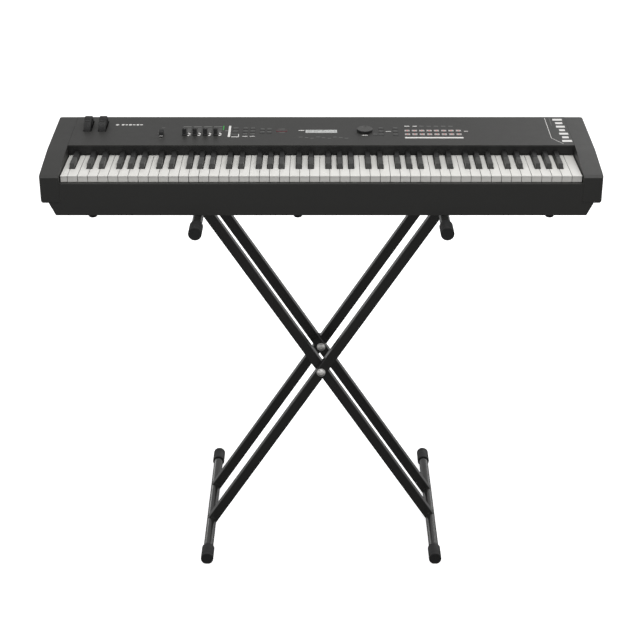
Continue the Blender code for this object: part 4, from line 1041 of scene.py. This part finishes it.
# -------- floor, light and camera
def build_floor():
    mesh = bpy.data.meshes.new("floor")
    bm = bmesh.new()
    bmesh.ops.create_grid(bm, x_segments=1, y_segments=1, size=200.0)
    bm.to_mesh(mesh)
    bm.free()
    floor = bpy.data.objects.new("floor", mesh)
    bpy.context.scene.collection.objects.link(floor)
    material, _, shader = principled("white_floor", (0.80, 0.80, 0.80), 0.8)
    shader.inputs["Emission Color"].default_value = (1.0, 1.0, 1.0, 1.0)
    shader.inputs["Emission Strength"].default_value = 0.80
    mesh.materials.append(material)
    floor.location.z = -0.4 * MM
    floor.visible_diffuse = False
    floor.visible_glossy = False


def area_light(name, place, target, size, power):
    light = bpy.data.lights.new(name, "AREA")
    light.shape = "RECTANGLE"
    light.size, light.size_y = size
    light.energy = power
    lamp = bpy.data.objects.new(name, light)
    lamp.location = place
    aim = Vector(target) - Vector(place)
    lamp.rotation_euler = aim.to_track_quat("-Z", "Y").to_euler()
    bpy.context.scene.collection.objects.link(lamp)


def build_light():
    """A pale studio: bright overhead and level with the object, dim below it."""
    world = bpy.data.worlds.new("studio")
    world.use_nodes = True
    tree = world.node_tree
    coordinates = tree.nodes.new("ShaderNodeTexCoord")
    split = tree.nodes.new("ShaderNodeSeparateXYZ")
    ramp = tree.nodes.new("ShaderNodeValToRGB")
    height = tree.nodes.new("ShaderNodeMapRange")
    height.inputs["From Min"].default_value = -1.0
    tree.links.new(coordinates.outputs["Generated"], split.inputs["Vector"])
    tree.links.new(split.outputs["Z"], height.inputs["Value"])
    tree.links.new(height.outputs["Result"], ramp.inputs["Fac"])
    stops = ramp.color_ramp.elements
    stops[0].position, stops[0].color = 0.0, (0.05, 0.05, 0.05, 1.0)
    stops[1].position, stops[1].color = 1.0, (0.62, 0.62, 0.62, 1.0)
    for position, grey in ((0.28, 0.12), (0.44, 0.42), (0.60, 0.46)):
        stops.new(position).color = (grey, grey, grey, 1.0)
    background = tree.nodes["Background"]
    background.inputs["Strength"].default_value = 1.0
    tree.links.new(ramp.outputs["Color"], background.inputs["Color"])
    bpy.context.scene.world = world
    area_light("top_box", (0.2, -0.5, 3.6), (0, 0.0, 1.0), (3.4, 1.6), 44)
    area_light("front_fill", (0.0, -3.6, 1.5), (0, 0, 0.7), (3.0, 1.2), 12.5)
    area_light("back_right_box", (2.2, 2.6, 2.6), (0.3, 0, 1.0), (1.6, 1.6), 23)
    area_light("left_box", (-3.0, -0.6, 1.1), (0, 0, 0.6), (1.2, 1.6), 7)
    area_light("right_box", (3.0, -0.6, 1.1), (0, 0, 0.6), (1.2, 1.6), 7)
    area_light("left_strip", (-2.3, 3.4, 0.6), (0, 0, 0.3), (0.5, 1.1), 3.2)
    area_light("right_strip", (2.3, 3.4, 0.6), (0, 0, 0.3), (0.5, 1.1), 2.0)


SENSOR_WIDTH = 36.0
LENS = 84.6
CAMERA_PLACE = (-0.0028, -3.4879, 2.2119)
CAMERA_TILT = math.radians(64.71)


def build_camera():
    """A camera in front of the piano and above it, tilted down."""
    camera = bpy.data.cameras.new("camera")
    camera.sensor_width = SENSOR_WIDTH
    camera.lens = LENS
    viewer = bpy.data.objects.new("camera", camera)
    viewer.location = CAMERA_PLACE
    viewer.rotation_euler = (CAMERA_TILT, 0.0, 0.0)
    bpy.context.scene.collection.objects.link(viewer)
    bpy.context.scene.camera = viewer
    bpy.context.scene.view_settings.view_transform = "Standard"


build_camera()
build_floor()
build_light()
build_stand()
build_case()
build_cheek("left_end_block", "left_cheek", -1)
build_cheek("right_end_block", "right_cheek", 1)
build_panel()
build_inside()
build_feet()
build_keyboard()
build_wheel("pitch_bend_wheel", "pitch_wheel", "pitch_wheel", WHEEL_GROOVE)
build_wheel("modulation_wheel", "mod_wheel", "mod_wheel", WHEEL_GROOVE)
build_slider()
build_knobs()
build_dial()
build_buttons()
build_display()
build_prints()
build_underside()
build_back()
